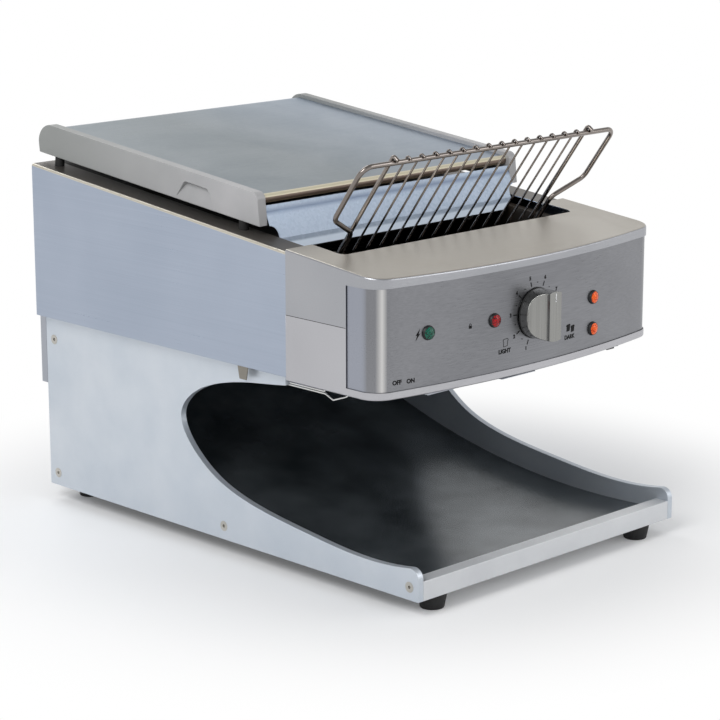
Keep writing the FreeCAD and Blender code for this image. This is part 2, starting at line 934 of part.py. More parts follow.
def speed_regulator():
    reach = regulator_width / 2
    front = regulator_front()
    body = box(-reach, reach, front, front + regulator_depth, knob_z - reach, knob_z + reach)
    for x in (-reach / 2, reach / 2):
        tab = box(x - sheet, x + sheet, front + regulator_depth, front + regulator_depth + bush_length,
                  knob_z - bezel_radius, knob_z)
        body = body.fuse(tab)
    return body.cut(rod_y(0, 0, front + regulator_depth * 2 / 3, knob_z, spindle_radius + shaft_gap))


def switch_block(x, y, gap):
    """the body of a rocker switch that stands up into the housing"""
    across = switch_width / 2 - switch_bezel + gap
    along = switch_length / 2 - switch_bezel + gap
    return box(x - across, x + across, y - along, y + along, housing_low - overrun, housing_low + switch_depth)


def switch_body(x, y):
    room = box(x - half, x + half, y - half, y + half, housing_low, housing_low + switch_depth)
    body = switch_block(x, y, 0).common(room)
    rim = box(x - switch_width / 2, x + switch_width / 2, y - switch_length / 2, y + switch_length / 2,
              housing_low - switch_bezel, housing_low)
    across = rocker_width / 2 + seat_gap
    along = rocker_length / 2 + 2 * seat_gap
    well = box(x - across, x + across, y - along, y + along,
               housing_low - overrun, housing_low + switch_depth / 2)
    pivot = rod_x(x - switch_width / 2 + switch_bezel + sheet / 2, x + switch_width / 2 - switch_bezel - sheet / 2,
                  y, housing_low, motor_shaft / 2 + shaft_gap)
    return join([body, rim]).cut(well).cut(pivot)


def rocker(x, y):
    """rocker on a cross pin, its face hollow in the middle"""
    reach = rocker_length / 2
    low = housing_low - switch_bezel - rocker_rise
    high = housing_low + motor_shaft / 2 + sheet
    steps = [(y + reach, high), (y + reach, low), ((y, low + rocker_rise / 2), (y - reach, low))]
    face = slab("yz", (y - reach, high), steps, x - rocker_width / 2, x + rocker_width / 2)
    pin = rod_x(x - switch_width / 2 + switch_bezel + sheet, x + switch_width / 2 - switch_bezel - sheet,
                y, housing_low, motor_shaft / 2)
    return join([face, pin])


def switch_guard():
    """two wires that run forward from the base panel's arm, the lower one hanging round the power rocker"""
    back = arm_front - seat_gap
    low = housing_low - guard_drop
    high = low + 2 * guard_wire + seat_gap
    front = switch_y - guard_front
    lower = [V(switch_x, back, low), V(switch_x, switch_y + guard_rear, low),
             V(switch_x, switch_y + guard_low, low - guard_dip), V(switch_x, front, low + guard_lift),
             V(switch_x, front, housing_low)]
    upper = [V(switch_x, back, high), V(switch_x, switch_y + guard_rear, high),
             V(switch_x, switch_y + guard_rear, housing_low)]
    return group([bent_wire(lower, guard_bend, guard_wire), bent_wire(upper, guard_bend, guard_wire)])


# Warming top and deflector

def cap_top():
    return cap_high - cap_rim


def warming_plate():
    """sheet with a rolled front edge and a rounded drop at the back"""
    top = cap_top()
    mid = top - roll_radius
    back = cap_back - sheet
    bend = plate_round * math.sin(math.pi / 4)
    tight = plate_round - sheet
    fall = tight * math.sin(math.pi / 4)
    turn = (back - plate_round, top - plate_round)
    steps = [((turn[0] + bend, turn[1] + bend), (back, turn[1])), (back, top - plate_drop),
             (back - sheet, top - plate_drop), (back - sheet, turn[1]),
             ((turn[0] + fall, turn[1] + fall), (turn[0], top - sheet)), (roll_s, top - sheet),
             ((roll_s - roll_radius + sheet, mid), (roll_s, mid - roll_radius + sheet)),
             (roll_s, mid - roll_radius), ((roll_s - roll_radius, mid), (roll_s, top))]
    inner = cap_outer - cap_width
    return tilted(slab("yz", (turn[0], top), steps, -inner, inner))


def warming_cap():
    """moulded right-hand cap with a finger recess in its lower edge"""
    back = cap_back + plate_thick
    shoulder = (back - cap_round, cap_high - cap_round)
    bend = cap_round * math.sin(math.pi / 4)
    brow = (cap_front + cap_lean + cap_brow, cap_high - cap_brow)
    curve = cap_brow * math.sin(math.pi / 4)
    steps = [(brow[0] - cap_brow, brow[1]), ((brow[0] - curve, brow[1] + curve), (brow[0], cap_high)),
             (shoulder[0], cap_high), ((shoulder[0] + bend, shoulder[1] + bend), (back, shoulder[1])),
             (cap_back, cap_low)]
    cap = slab("yz", (cap_front, cap_low), steps, cap_outer - cap_width, cap_outer)
    end = recess_front + recess_length
    corners = [(recess_front, cap_low - overrun), (recess_front, cap_low),
               (recess_front + recess_slant, cap_low + recess_height),
               (end - recess_slant, cap_low + recess_height), (end, cap_low), (end, cap_low - overrun)]
    grip = rounded_slab("yz", corners, recess_round, cap_outer - recess_depth, cap_outer + overrun)
    scoop = [(cap_outer - recess_depth, cap_low + recess_height), (cap_outer, cap_low + recess_foot),
             (cap_outer + overrun, cap_low + recess_foot), (cap_outer + overrun, cap_low + recess_height)]
    wedge = slab("xz", scoop[0], scoop[1:], recess_front, end)
    return tilted(cap.cut(grip.common(wedge)))


def top_rest_posts():
    places = (cap_front + rest_inset, cap_back - rest_inset)
    x = cap_outer - cap_width / 2
    posts = []
    for s in places:
        post = tilted(rod_z(x, s, 0, cap_low - seat_gap, rest_radius))
        posts += [post, mirrored(post)]
    return group(posts)


def deflector_plate():
    """folded sheet that hangs down into the feed opening, with a round notch at each upper corner"""
    y = deflector_top_y
    z = deflector_top_z
    crease = (y - deflector_crease / 4, z - deflector_crease)
    middle = (y - deflector_mid_back, z - deflector_mid_drop)
    low = (y - deflector_low_back, z - deflector_low_drop)
    blade = folded("yz", [(y, z), crease, middle, low], deflector_sheet, sheet, -half, half)
    wide = cap_outer - cap_width
    neck = wide - deflector_neck
    step = z - deflector_step
    bend = deflector_neck * math.sin(math.pi / 4)
    notch = (wide - bend, step - deflector_neck + bend)
    steps = [(wide, step), (notch, (neck, step - deflector_neck)), (neck, middle[1]),
             (neck - deflector_taper, low[1] - sheet), (deflector_taper - neck, low[1] - sheet),
             (-neck, middle[1]), (-neck, step - deflector_neck), ((-notch[0], notch[1]), (-wide, step)),
             (-wide, z + sheet)]
    return blade.common(slab("xz", (wide, z + sheet), steps, seam_y, y + overrun))


# Feed rack

def rack_spot(down, up):
    """y and z of a spot measured down the rack's slope and up from its plane"""
    lean = math.radians(rack_angle)
    return (rack_y + down * math.cos(lean) + up * math.sin(lean),
            rack_z - down * math.sin(lean) + up * math.cos(lean))


def leaned(shape):
    """from level, y down the rack and z up from its plane, to the rack's slope"""
    shape.rotate(V(0, 0, 0), V(1, 0, 0), -rack_angle)
    shape.translate(V(0, rack_y, rack_z))
    return shape


def rack_frame():
    points = [V(-rack_neck_half, rack_length, 0), V(-rack_neck_half, rack_neck, 0),
              V(-rack_half, rack_shoulder, 0), V(-rack_half, 0, 0), V(rack_half, 0, 0),
              V(rack_half, rack_shoulder, 0), V(rack_neck_half, rack_neck, 0), V(rack_neck_half, rack_length, 0)]
    frame = bent_wire(points, rack_bend, rack_wire)
    foot = rod_x(-rack_neck_half, rack_neck_half, rack_length - rack_wire, 0, rack_inner_wire)
    return leaned(join([frame, foot]))


def rack_wire_over(x, radius):
    """a wire that lies on the frame and hooks over its top bar"""
    up = rack_wire + radius
    points = [V(x, rack_length, up), V(x, -up, up), V(x, -up, -rack_wire)]
    return bent_wire(points, rack_wire, radius)


def rack_wires():
    reach = rack_neck_half - rack_wire - rack_inner_wire
    pitch = 2 * reach / rack_gap_count
    wires = [rack_wire_over(-reach, rack_inner_wire), rack_wire_over(reach, rack_inner_wire)]
    wires += [rack_wire_over(i * pitch - reach, rack_thin_wire) for i in range(1, rack_gap_count)]
    return leaned(group(wires))


def rack_rest_rod():
    y, z = rack_spot(rest_rod_down, -rack_wire - rest_rod_radius - seat_gap)
    reach = chamber_half + thick_sheet
    return rod_x(-reach, reach, y, z, rest_rod_radius)


def rack_shelves():
    low = rack_length + seat_gap
    shelf = box(chamber_half - shelf_length, chamber_half, low, low + thick_sheet,
                -rack_bump, rack_bump)
    return both_sides(leaned(shelf))


# Conveyor

def strand_places():
    """y, z and the angle round the loop of each cross wire"""
    places = []
    top = math.pi / 2
    step = 2 * math.pi / sprocket_teeth
    for i in range(run_steps + 1):
        places.append((idler_y + i * strand_pitch, belt_z + strand_radius))
    for i in range(1, sprocket_teeth // 2):
        turn = top - i * step
        places.append((drive_y + strand_radius * math.cos(turn), belt_z + strand_radius * math.sin(turn)))
    for i in range(run_steps + 1):
        places.append((drive_y - i * strand_pitch, belt_z - strand_radius))
    for i in range(1, sprocket_teeth // 2):
        turn = top + (sprocket_teeth // 2 - i) * step
        places.append((idler_y + strand_radius * math.cos(turn), belt_z + strand_radius * math.sin(turn)))
    return places


def conveyor_strands():
    """cross wires, each with short links that reach to the next one"""
    places = strand_places()
    strands = []
    for i, (y, z) in enumerate(places):
        next_y, next_z = places[(i + 1) % len(places)]
        start = V(0, y, z)
        way = V(0, next_y - y, next_z - z)
        way = way * ((strand_pitch - strand_wire) / strand_pitch)
        strand = rod_x(-strand_half, strand_half, y, z, strand_wire)
        for x in (-1, 0, 1):
            shift = V(x * (strand_half - strand_wire), 0, 0)
            strand = strand.fuse(rod(start + shift, start + shift + way, link_wire))
        strands.append(strand)
    return group(strands)


def belt_sprocket(y):
    """toothed wheel whose gaps lie under the cross wires"""
    outer = strand_radius - strand_wire - seat_gap
    wheel = rod_x(-sprocket_wall / 2, sprocket_wall / 2, 0, 0, outer)
    for i in range(sprocket_teeth):
        turn = math.radians(i * 360 / sprocket_teeth)
        gap = box(-sprocket_wall, sprocket_wall, -2 * strand_wire, 2 * strand_wire,
                  strand_radius, outer + overrun)
        gap = gap.fuse(rod_x(-sprocket_wall, sprocket_wall, 0, strand_radius, 2 * strand_wire))
        gap.rotate(V(0, 0, 0), V(1, 0, 0), math.degrees(turn))
        wheel = wheel.cut(gap)
    hub = rod_x(-hub_width / 2, hub_width / 2, 0, 0, hub_radius)
    wheel = wheel.fuse(hub).cut(rod_x(-hub_width, hub_width, 0, 0, shaft_radius))
    wheel.translate(V(0, y, belt_z))
    return wheel


def belt_sprockets(y):
    wheels = []
    for side in (-1, 1):
        wheel = belt_sprocket(y)
        wheel.translate(V(side * sprocket_x, 0, 0))
        wheels.append(wheel)
    return group(wheels)


def idler_shaft():
    return rod_x(shaft_left, -shaft_left, idler_y, belt_z, shaft_radius)


def drive_shaft():
    return rod_x(shaft_left, chain_x + chain_pitch, drive_y, belt_z, shaft_radius)


def shaft_bearings():
    outer = chamber_half + thick_sheet
    bushes = []
    for y in (idler_y, drive_y):
        barrel = rod_x(chamber_half, chamber_half + bush_length, y, belt_z, bush_radius)
        collar = rod_x(outer, outer + bush_flange_wall, y, belt_z, bush_flange)
        bush = join([barrel, collar])
        bush = bush.cut(rod_x(chamber_half - overrun, half, y, belt_z, shaft_radius + shaft_gap))
        bushes += [bush, mirrored(bush)]
    return group(bushes)


def chain_radius(teeth):
    return chain_pitch / (2 * math.sin(math.pi / teeth))


def toothed_disc(teeth, y, z):
    """chain wheel with straight-sided teeth"""
    middle = chain_radius(teeth)
    points = []
    for i in range(teeth):
        for share, radius in zip(tooth_shares, (middle - chain_wall / 2, middle + chain_wall / 2,
                                                middle + chain_wall / 2, middle - chain_wall / 2)):
            turn = 2 * math.pi * (i + share) / teeth
            points.append((y + radius * math.cos(turn), z + radius * math.sin(turn)))
    return slab("yz", points[0], points[1:], chain_x - chain_wall / 2, chain_x + chain_wall / 2)


def chain_wheel():
    wheel = toothed_disc(wheel_teeth, drive_y, belt_z)
    hub = rod_x(chain_x - bush_length, chain_x + chain_wall, drive_y, belt_z, hub_radius)
    return join([wheel, hub]).cut(rod_x(0, half, drive_y, belt_z, shaft_radius))


def motor_sprocket():
    """small chain wheel on the motor's output shaft"""
    disc = toothed_disc(pinion_teeth, motor_y, motor_z)
    start = chamber_half + thick_sheet + motor_depth / 2
    return join([disc, rod_x(start, chain_x + chain_pitch / 2, motor_y, motor_z, motor_shaft)])


def chain_face(out, x0, x1):
    """slab inside the loop round both chain wheels, its edge moved out"""
    far = math.hypot(motor_y - drive_y, motor_z - belt_z)
    aim = math.atan2(motor_z - belt_z, motor_y - drive_y)
    large = chain_radius(wheel_teeth)
    small = chain_radius(pinion_teeth)
    swing = math.acos((large - small) / far)

    def spot(y, z, radius, turn):
        return (y + (radius + out) * math.cos(turn), z + (radius + out) * math.sin(turn))

    steps = [(spot(drive_y, belt_z, large, aim + math.pi), spot(drive_y, belt_z, large, aim - swing)),
             spot(motor_y, motor_z, small, aim - swing),
             (spot(motor_y, motor_z, small, aim), spot(motor_y, motor_z, small, aim + swing))]
    return slab("yz", spot(drive_y, belt_z, large, aim + swing), steps, x0, x1)


def drive_chain():
    """two link bands with pins across them on the straight stretches"""
    reach = chain_wall
    solids = []
    for side in (-1, 1):
        x = chain_x + side * reach
        x0, x1 = sorted((x, x + side * sheet))
        solids.append(chain_face(chain_wall, x0, x1).cut(chain_face(-chain_wall, x0 - overrun, x1 + overrun)))
    far = math.hypot(motor_y - drive_y, motor_z - belt_z)
    aim = math.atan2(motor_z - belt_z, motor_y - drive_y)
    large = chain_radius(wheel_teeth)
    small = chain_radius(pinion_teeth)
    swing = math.acos((large - small) / far)
    count = int(far / chain_pitch)
    for side in (-1, 1):
        turn = aim + side * swing
        start = V(chain_x - reach, drive_y + large * math.cos(turn), belt_z + large * math.sin(turn))
        end = V(chain_x - reach, motor_y + small * math.cos(turn), motor_z + small * math.sin(turn))
        for i in range(2, count - 1):
            spot = start + (end - start) * (i / count)
            solids.append(rod(spot, spot + V(2 * reach, 0, 0), chain_wall / 2))
    return join(solids)


def gear_motor():
    x0 = chamber_half + thick_sheet
    reach = motor_size / 2
    box_part = box(x0, x0 + motor_depth, motor_y - reach, motor_y + reach, motor_z - reach, motor_z + reach)
    box_part = soften(box_part, motor_shaft, lambda e: e.BoundBox.XLength > motor_depth - sheet)
    can = rod_y(x0 + motor_radius, motor_y - reach - motor_size, motor_y - reach, motor_z, motor_radius)
    nose = rod_x(x0 + motor_depth, x0 + motor_depth + bush_flange_wall, motor_y, motor_z, hub_radius)
    bore = rod_x(x0 + motor_depth / 2, half, motor_y, motor_z, motor_shaft + shaft_gap)
    return join([box_part, can, nose]).cut(bore)


def belt_guides():
    top = belt_z + strand_radius - strand_wire
    shelf = box(chamber_half - guide_width, chamber_half, idler_y + hub_width * 2, drive_y - hub_width * 2,
                top - thick_sheet, top)
    return both_sides(shelf)


# Heaters

def element_places(first, pitch, z):
    return [(first + i * pitch, z) for i in range(element_count)]


def elements(first, pitch, z):
    """straight sheathed elements with a terminal pin at each end"""
    reach = chamber_half + insulator_length
    rods = []
    for y, level in element_places(first, pitch, z):
        tube = rod_x(-reach, reach, y, level, element_radius)
        tail = rod_x(-reach - insulator_length, reach + insulator_length, y, level, element_radius / 2)
        rods.append(join([tube, tail]))
    return group(rods)


def element_insulators():
    places = element_places(upper_first, upper_pitch, upper_z)
    places = places + element_places(lower_first, lower_pitch, lower_z)
    rings = []
    for y, z in places:
        ring = rod_x(chamber_half - thick_sheet, chamber_half + insulator_length / 2, y, z, insulator_radius)
        ring = ring.cut(rod_x(0, half, y, z, element_radius))
        rings += [ring, mirrored(ring)]
    return group(rings)


def upper_reflector():
    low = upper_z + element_radius + reflector_gap
    front = upper_first - 2 * reflector_gap
    back = upper_first + (element_count - 1) * upper_pitch + 2 * reflector_gap
    pairs = [(back, low - reflector_lip), (back, low), (front, low), (front, low - reflector_lip)]
    return folded("yz", pairs, sheet, sheet, -chamber_half, chamber_half)


def lower_reflector():
    low = lower_z - element_radius - reflector_gap
    front = idler_y + strand_radius + 2 * strand_wire + seat_gap
    back = drive_y - strand_radius - 2 * strand_wire - seat_gap
    pairs = [(front, low + reflector_lip), (front, low), (back, low), (back, low + reflector_lip)]
    return folded("yz", pairs, sheet, sheet, -chamber_half, chamber_half)


# Crumb tray

def crumb_tray():
    low = tray_top - tray_depth
    outer = box(-tray_half, tray_half, tray_front, tray_back, low, tray_top)
    inner = box(tray_wall - tray_half, tray_half - tray_wall, tray_front + tray_wall, tray_back - tray_wall,
                low + tray_wall, tray_top + overrun)
    pull = box(-knob_radius, knob_radius, tray_front - tray_depth, tray_front, low, low + tray_wall)
    return join([outer.cut(inner), pull])


def tray_rails():
    low = tray_top - tray_depth - seat_gap
    web = tray_half + seat_gap
    lip = box(web - rail_lip, web + sheet, rail_front, tray_back, low - sheet, low)
    wall = box(web, web + sheet, rail_front, tray_back, low - sheet, base_height)
    return both_sides(join([lip, wall]))


# Inner fittings

def fan_frame():
    reach = fan_size / 2
    back = base_length - sheet
    front = back - fan_depth
    frame = box(fan_x - reach, fan_x + reach, front, back, fan_z - reach, fan_z + reach)
    frame = frame.cut(rod_y(fan_x, front, back, fan_z, fan_tip + sheet))
    for bar in (box(fan_x - reach, fan_x + reach, back - sheet, back, fan_z - sheet, fan_z + sheet),
                box(fan_x - sheet, fan_x + sheet, back - sheet, back, fan_z - reach, fan_z + reach),
                rod_y(fan_x, back - fan_depth / 4, back, fan_z, fan_hub)):
        frame = frame.fuse(bar)
    return frame.cut(rod_y(fan_x, front, back - sheet, fan_z, blade_wall + shaft_gap))


def fan_rotor():
    """hub with slanted blades on a short pin"""
    back = base_length - sheet
    front = back - fan_depth
    end = back - fan_depth / 4 - seat_gap
    blades = []
    for i in range(fan_blades):
        blade = box(-blade_wall / 2, blade_wall / 2, -fan_hub / 2, fan_hub / 2, fan_hub - blade_wall, fan_tip)
        blade.rotate(V(0, 0, 0), V(0, 0, 1), blade_slant)
        blade.rotate(V(0, 0, 0), V(0, 1, 0), i * 360 / fan_blades)
        blade.translate(V(fan_x, (front + end) / 2, fan_z))
        blades.append(blade)
    hub = rod_y(fan_x, front + blade_wall, end, fan_z, fan_hub)
    pin = rod_y(fan_x, end, back - 2 * sheet, fan_z, blade_wall)
    return join([hub, pin] + blades)


def control_board():
    """board on four posts in the left-hand compartment, with its larger components"""
    face = -chamber_half - thick_sheet - post_length
    board = box(face - blade_wall, face, board_y, board_y + board_length, board_z, board_z + board_height)
    pieces = [board]
    for y in (board_y + 2 * post_radius, board_y + board_length - 2 * post_radius):
        for z in (board_z + 2 * post_radius, board_z + board_height - 2 * post_radius):
            pieces.append(rod_x(face, face + post_length, y, z, post_radius))
    for y, z, long, tall, deep in component_shares:
        pieces.append(box(face - blade_wall - deep * board_height, face - blade_wall,
                          board_y + y * board_length, board_y + (y + long) * board_length,
                          board_z + z * board_height, board_z + (z + tall) * board_height))
    return join(pieces)


def terminal_block():
    x = -chamber_half - thick_sheet - bush_length - seat_gap
    block = box(x - block_size, x, block_y, block_y + block_length, floor_top, floor_top + block_size)
    ways = int(block_length / block_size) * 2
    for i in range(ways):
        y = block_y + (i + 1 / 2) * block_length / ways
        block = block.cut(rod_z(x - block_size / 2, y, floor_top + block_size / 2,
                                floor_top + block_size, screw_radius))
    return block


nodes = {
    "base_panel_left": mirrored(base_panel()),
    "base_panel_right": base_panel(),
    "front_bar": front_bar(),
    "tie_rods": tie_rods(),
    "toast_slide": toast_slide(),
    "base_rear_panel": base_rear_panel(),
    "rubber_feet": rubber_feet(),
    "rear_foot_plates": rear_foot_plates(),
    "chassis_floor": chassis_floor(),
    "chamber_plate_left": mirrored(chamber_plate()),
    "chamber_plate_right": chamber_plate(),
    "chamber_liners": group([chamber_front_liner(), upper_reflector(), lower_reflector()]),
    "casing_side_left": mirrored(casing_side()),
    "casing_side_right": casing_side(),
    "casing_back": casing_back(),
    "casing_roof": casing_roof(),
    "casing_catch": casing_catch(),
    "rear_cover": rear_cover(),
    "steel_screws": group([base_screws(), rear_cover_screws()]),
    "cable_gland": cable_gland(),
    "front_lower_housing": front_lower_housing(),
    "front_top_cover": front_top_cover(),
    "fascia_panel": fascia_panel(),
    "lamp_bezels": lamp_bezels(),
    "lamp_lens_green": lamp_lens(lamp_green_x, lamp_row),
    "lamp_lens_red": lamp_lens(lamp_red_x, lamp_row),
    "lamp_lenses_amber": lamp_lenses_amber(),
    "control_knob": control_knob(),
    "knob_spindle": knob_spindle(),
    "speed_regulator": speed_regulator(),
    "switch_bodies": group([switch_body(switch_x, switch_y), switch_body(mode_x, mode_y)]),
    "power_rocker": rocker(switch_x, switch_y),
    "mode_rocker": rocker(mode_x, mode_y),
    "switch_guard": switch_guard(),
    "warming_plate": warming_plate(),
    "warming_cap_left": mirrored(warming_cap()),
    "warming_cap_right": warming_cap(),
    "top_rest_posts": top_rest_posts(),
    "deflector_plate": deflector_plate(),
    "rack_frame": rack_frame(),
    "rack_wires": rack_wires(),
    "rack_supports": group([rack_rest_rod(), rack_shelves()]),
    "conveyor_strands": conveyor_strands(),
    "drive_shaft": drive_shaft(),
    "drive_sprockets": belt_sprockets(drive_y),
    "chain_wheel": chain_wheel(),
    "idler_shaft": group([idler_shaft(), belt_sprockets(idler_y)]),
    "shaft_bearings": shaft_bearings(),
    "drive_chain": drive_chain(),
    "motor_sprocket": motor_sprocket(),
    "gear_motor": gear_motor(),
    "belt_guides": belt_guides(),
    "heating_elements": group([elements(upper_first, upper_pitch, upper_z),
                               elements(lower_first, lower_pitch, lower_z)]),
    "element_insulators": element_insulators(),
    "crumb_tray": crumb_tray(),
    "tray_rails": tray_rails(),
    "fan_frame": fan_frame(),
    "fan_rotor": fan_rotor(),
    "control_board": control_board(),
    "terminal_block": terminal_block(),
}

os.makedirs("parts", exist_ok=True)
for name, shape in nodes.items():
    shape.translate(V(0, -depth / 2, foot_height))
    shape.exportStep("parts/" + name + ".step")
print(len(nodes), "pieces")
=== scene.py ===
import json
import math
import bpy
import bmesh
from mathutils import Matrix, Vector


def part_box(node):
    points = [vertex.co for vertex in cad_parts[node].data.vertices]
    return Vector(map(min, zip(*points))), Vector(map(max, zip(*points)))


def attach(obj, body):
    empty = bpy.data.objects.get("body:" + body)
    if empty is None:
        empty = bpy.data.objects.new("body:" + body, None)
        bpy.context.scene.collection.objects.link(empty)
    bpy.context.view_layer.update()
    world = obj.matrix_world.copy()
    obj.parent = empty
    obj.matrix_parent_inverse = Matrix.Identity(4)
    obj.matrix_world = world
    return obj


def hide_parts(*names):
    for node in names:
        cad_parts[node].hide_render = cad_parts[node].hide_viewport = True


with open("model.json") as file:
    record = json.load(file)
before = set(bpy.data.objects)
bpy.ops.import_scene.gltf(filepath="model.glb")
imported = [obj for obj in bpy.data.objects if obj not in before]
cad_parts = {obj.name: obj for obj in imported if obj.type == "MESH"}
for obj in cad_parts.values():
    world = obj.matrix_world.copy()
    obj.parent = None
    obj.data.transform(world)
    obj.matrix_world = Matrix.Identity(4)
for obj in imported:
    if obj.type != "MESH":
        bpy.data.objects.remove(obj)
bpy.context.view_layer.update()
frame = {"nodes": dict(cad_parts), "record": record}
nodes = frame["nodes"]
mm = 0.001
print("frame loaded:", len(nodes), "nodes")


# camera, light and floor

shot = {"place": (-2.05965, -2.10859, 0.91648), "turn": (1.33416435, 0.00163629, -0.77786099),
        "lens": 120.16, "sensor": 36, "shiftX": 0.00294, "shiftY": -0.0038}


def addCamera():
    bpy.ops.object.camera_add(location=shot["place"], rotation=shot["turn"])
    camera = bpy.context.object
    camera.name = "photoCamera"
    camera.data.lens = shot["lens"]
    camera.data.sensor_width = shot["sensor"]
    camera.data.shift_x = shot["shiftX"]
    camera.data.shift_y = shot["shiftY"]
    bpy.context.scene.camera = camera
    bpy.context.scene.view_settings.view_transform = "Standard"


studio = {"keyPlace": (-2.4, -0.6, 2.4), "keySize": 1.6, "keyPower": 50,
          "fillPlace": (1.8, -2.6, 1.6), "fillSize": 1.8, "fillPower": 20,
          "rearPlace": (0.6, 2.4, 2.4), "rearSize": 1.6, "rearPower": 22,
          "aim": (0, 0, 0.2), "sky": 0.45, "skyTint": (0.95, 0.97, 1, 1),
          "ceiling": 0.45, "rise": (0.12, 0.8),
          "floorTone": 250, "floorRough": 0.9, "floorGloss": 0.1, "floorSize": 14,
          "floorLift": 0.1, "floorNear": 0.34, "floorFar": 0.7}


def tone(red, green, blue):  # a colour as seen on screen, 0 to 255, made linear
    linear = []
    for part in (red, green, blue):
        share = part / 255
        linear.append(share / 12.92 if share <= 0.04045 else ((share + 0.055) / 1.055) ** 2.4)
    return (*linear, 1)


def addSoftbox(name):
    place = studio[name + "Place"]
    bpy.ops.object.light_add(type="AREA", location=place)
    lamp = bpy.context.object
    lamp.name = name + "Light"
    lamp.data.shape = "SQUARE"
    lamp.data.size = studio[name + "Size"]
    lamp.data.energy = studio[name + "Power"]
    aim = Vector(studio["aim"]) - Vector(place)
    lamp.rotation_euler = aim.to_track_quat("-Z", "Y").to_euler()


def seenByEye(tree):  # 1 for camera, glossy and transmission rays
    path = tree.nodes.new("ShaderNodeLightPath")
    total = path.outputs["Is Camera Ray"]
    for ray in ("Is Glossy Ray", "Is Transmission Ray"):
        step = tree.nodes.new("ShaderNodeMath")
        step.operation = "MAXIMUM"
        tree.links.new(total, step.inputs[0])
        tree.links.new(path.outputs[ray], step.inputs[1])
        total = step.outputs[0]
    return total


def addWorld():
    world = bpy.data.worlds.new("studioWorld")
    bpy.context.scene.world = world
    world.use_nodes = True
    tree = world.node_tree
    tree.nodes.clear()
    out = tree.nodes.new("ShaderNodeOutputWorld")
    mix = tree.nodes.new("ShaderNodeMixShader")
    dim = tree.nodes.new("ShaderNodeBackground")
    white = tree.nodes.new("ShaderNodeBackground")
    dim.inputs["Color"].default_value = studio["skyTint"]
    dim.inputs["Strength"].default_value = studio["sky"]
    white.inputs["Color"].default_value = (1, 1, 1, 1)
    # white at the horizon, greyer towards the ceiling
    place = tree.nodes.new("ShaderNodeTexCoord")
    parts = tree.nodes.new("ShaderNodeSeparateXYZ")
    rise = tree.nodes.new("ShaderNodeMapRange")
    rise.interpolation_type = "SMOOTHSTEP"
    rise.inputs["From Min"].default_value, rise.inputs["From Max"].default_value = studio["rise"]
    rise.inputs["To Min"].default_value = 1
    rise.inputs["To Max"].default_value = studio["ceiling"]
    tree.links.new(place.outputs["Generated"], parts.inputs["Vector"])
    tree.links.new(parts.outputs["Z"], rise.inputs["Value"])
    tree.links.new(rise.outputs["Result"], white.inputs["Strength"])
    tree.links.new(seenByEye(tree), mix.inputs["Fac"])
    tree.links.new(dim.outputs[0], mix.inputs[1])
    tree.links.new(white.outputs[0], mix.inputs[2])
    tree.links.new(mix.outputs[0], out.inputs[0])


def addFloor():
    bpy.ops.mesh.primitive_plane_add(size=studio["floorSize"])
    floor = bpy.context.object
    floor.name = "studioFloor"
    material = bpy.data.materials.new("palePaper")
    material.use_nodes = True
    tree = material.node_tree
    shader = tree.nodes["Principled BSDF"]
    shader.inputs["Base Color"].default_value = tone(*[studio["floorTone"]] * 3)
    shader.inputs["Roughness"].default_value = studio["floorRough"]
    shader.inputs["Specular IOR Level"].default_value = studio["floorGloss"]
    # away from the object the paper goes over into the white background
    place = tree.nodes.new("ShaderNodeTexCoord")
    reach = tree.nodes.new("ShaderNodeVectorMath")
    reach.operation = "LENGTH"
    fade = tree.nodes.new("ShaderNodeMapRange")
    fade.interpolation_type = "SMOOTHSTEP"
    fade.inputs["From Min"].default_value = studio["floorNear"]
    fade.inputs["From Max"].default_value = studio["floorFar"]
    fade.inputs["To Min"].default_value = studio["floorLift"]
    share = tree.nodes.new("ShaderNodeMath")
    share.operation = "MULTIPLY"
    glow = tree.nodes.new("ShaderNodeEmission")
    glow.inputs["Color"].default_value = (1, 1, 1, 1)
    mix = tree.nodes.new("ShaderNodeMixShader")
    tree.links.new(place.outputs["Object"], reach.inputs[0])
    tree.links.new(reach.outputs["Value"], fade.inputs["Value"])
    tree.links.new(fade.outputs["Result"], share.inputs[0])
    tree.links.new(seenByEye(tree), share.inputs[1])
    tree.links.new(share.outputs[0], mix.inputs["Fac"])
    tree.links.new(shader.outputs[0], mix.inputs[1])
    tree.links.new(glow.outputs[0], mix.inputs[2])
    tree.links.new(mix.outputs[0], tree.nodes["Material Output"].inputs["Surface"])
    floor.data.materials.append(material)


addCamera()
for lampName in ("key", "fill", "rear"):
    addSoftbox(lampName)
addWorld()
addFloor()
print("studio ready")


# effects shared by the materials

def newGroup(name, inputs, outputs):
    group = bpy.data.node_groups.new(name, "ShaderNodeTree")
    for label, kind, value in inputs:
        socket = group.interface.new_socket(label, in_out="INPUT", socket_type=kind)
        socket.default_value = value
    for label, kind in outputs:
        group.interface.new_socket(label, in_out="OUTPUT", socket_type=kind)
    start = group.nodes.new("NodeGroupInput")
    end = group.nodes.new("NodeGroupOutput")
    return group, start, end


def objectPlace(tree, scale=None):
    place = tree.nodes.new("ShaderNodeTexCoord")
    mapping = tree.nodes.new("ShaderNodeMapping")
    tree.links.new(place.outputs["Object"], mapping.inputs["Vector"])
    if scale is not None:
        tree.links.new(scale, mapping.inputs["Scale"])
    return mapping.outputs["Vector"]


def noiseOf(tree, vector, scale, detail, rough=0.5):
    noise = tree.nodes.new("ShaderNodeTexNoise")
    noise.inputs["Scale"].default_value = scale
    noise.inputs["Detail"].default_value = detail
    noise.inputs["Roughness"].default_value = rough
    tree.links.new(vector, noise.inputs["Vector"])
    return noise.outputs["Fac"]


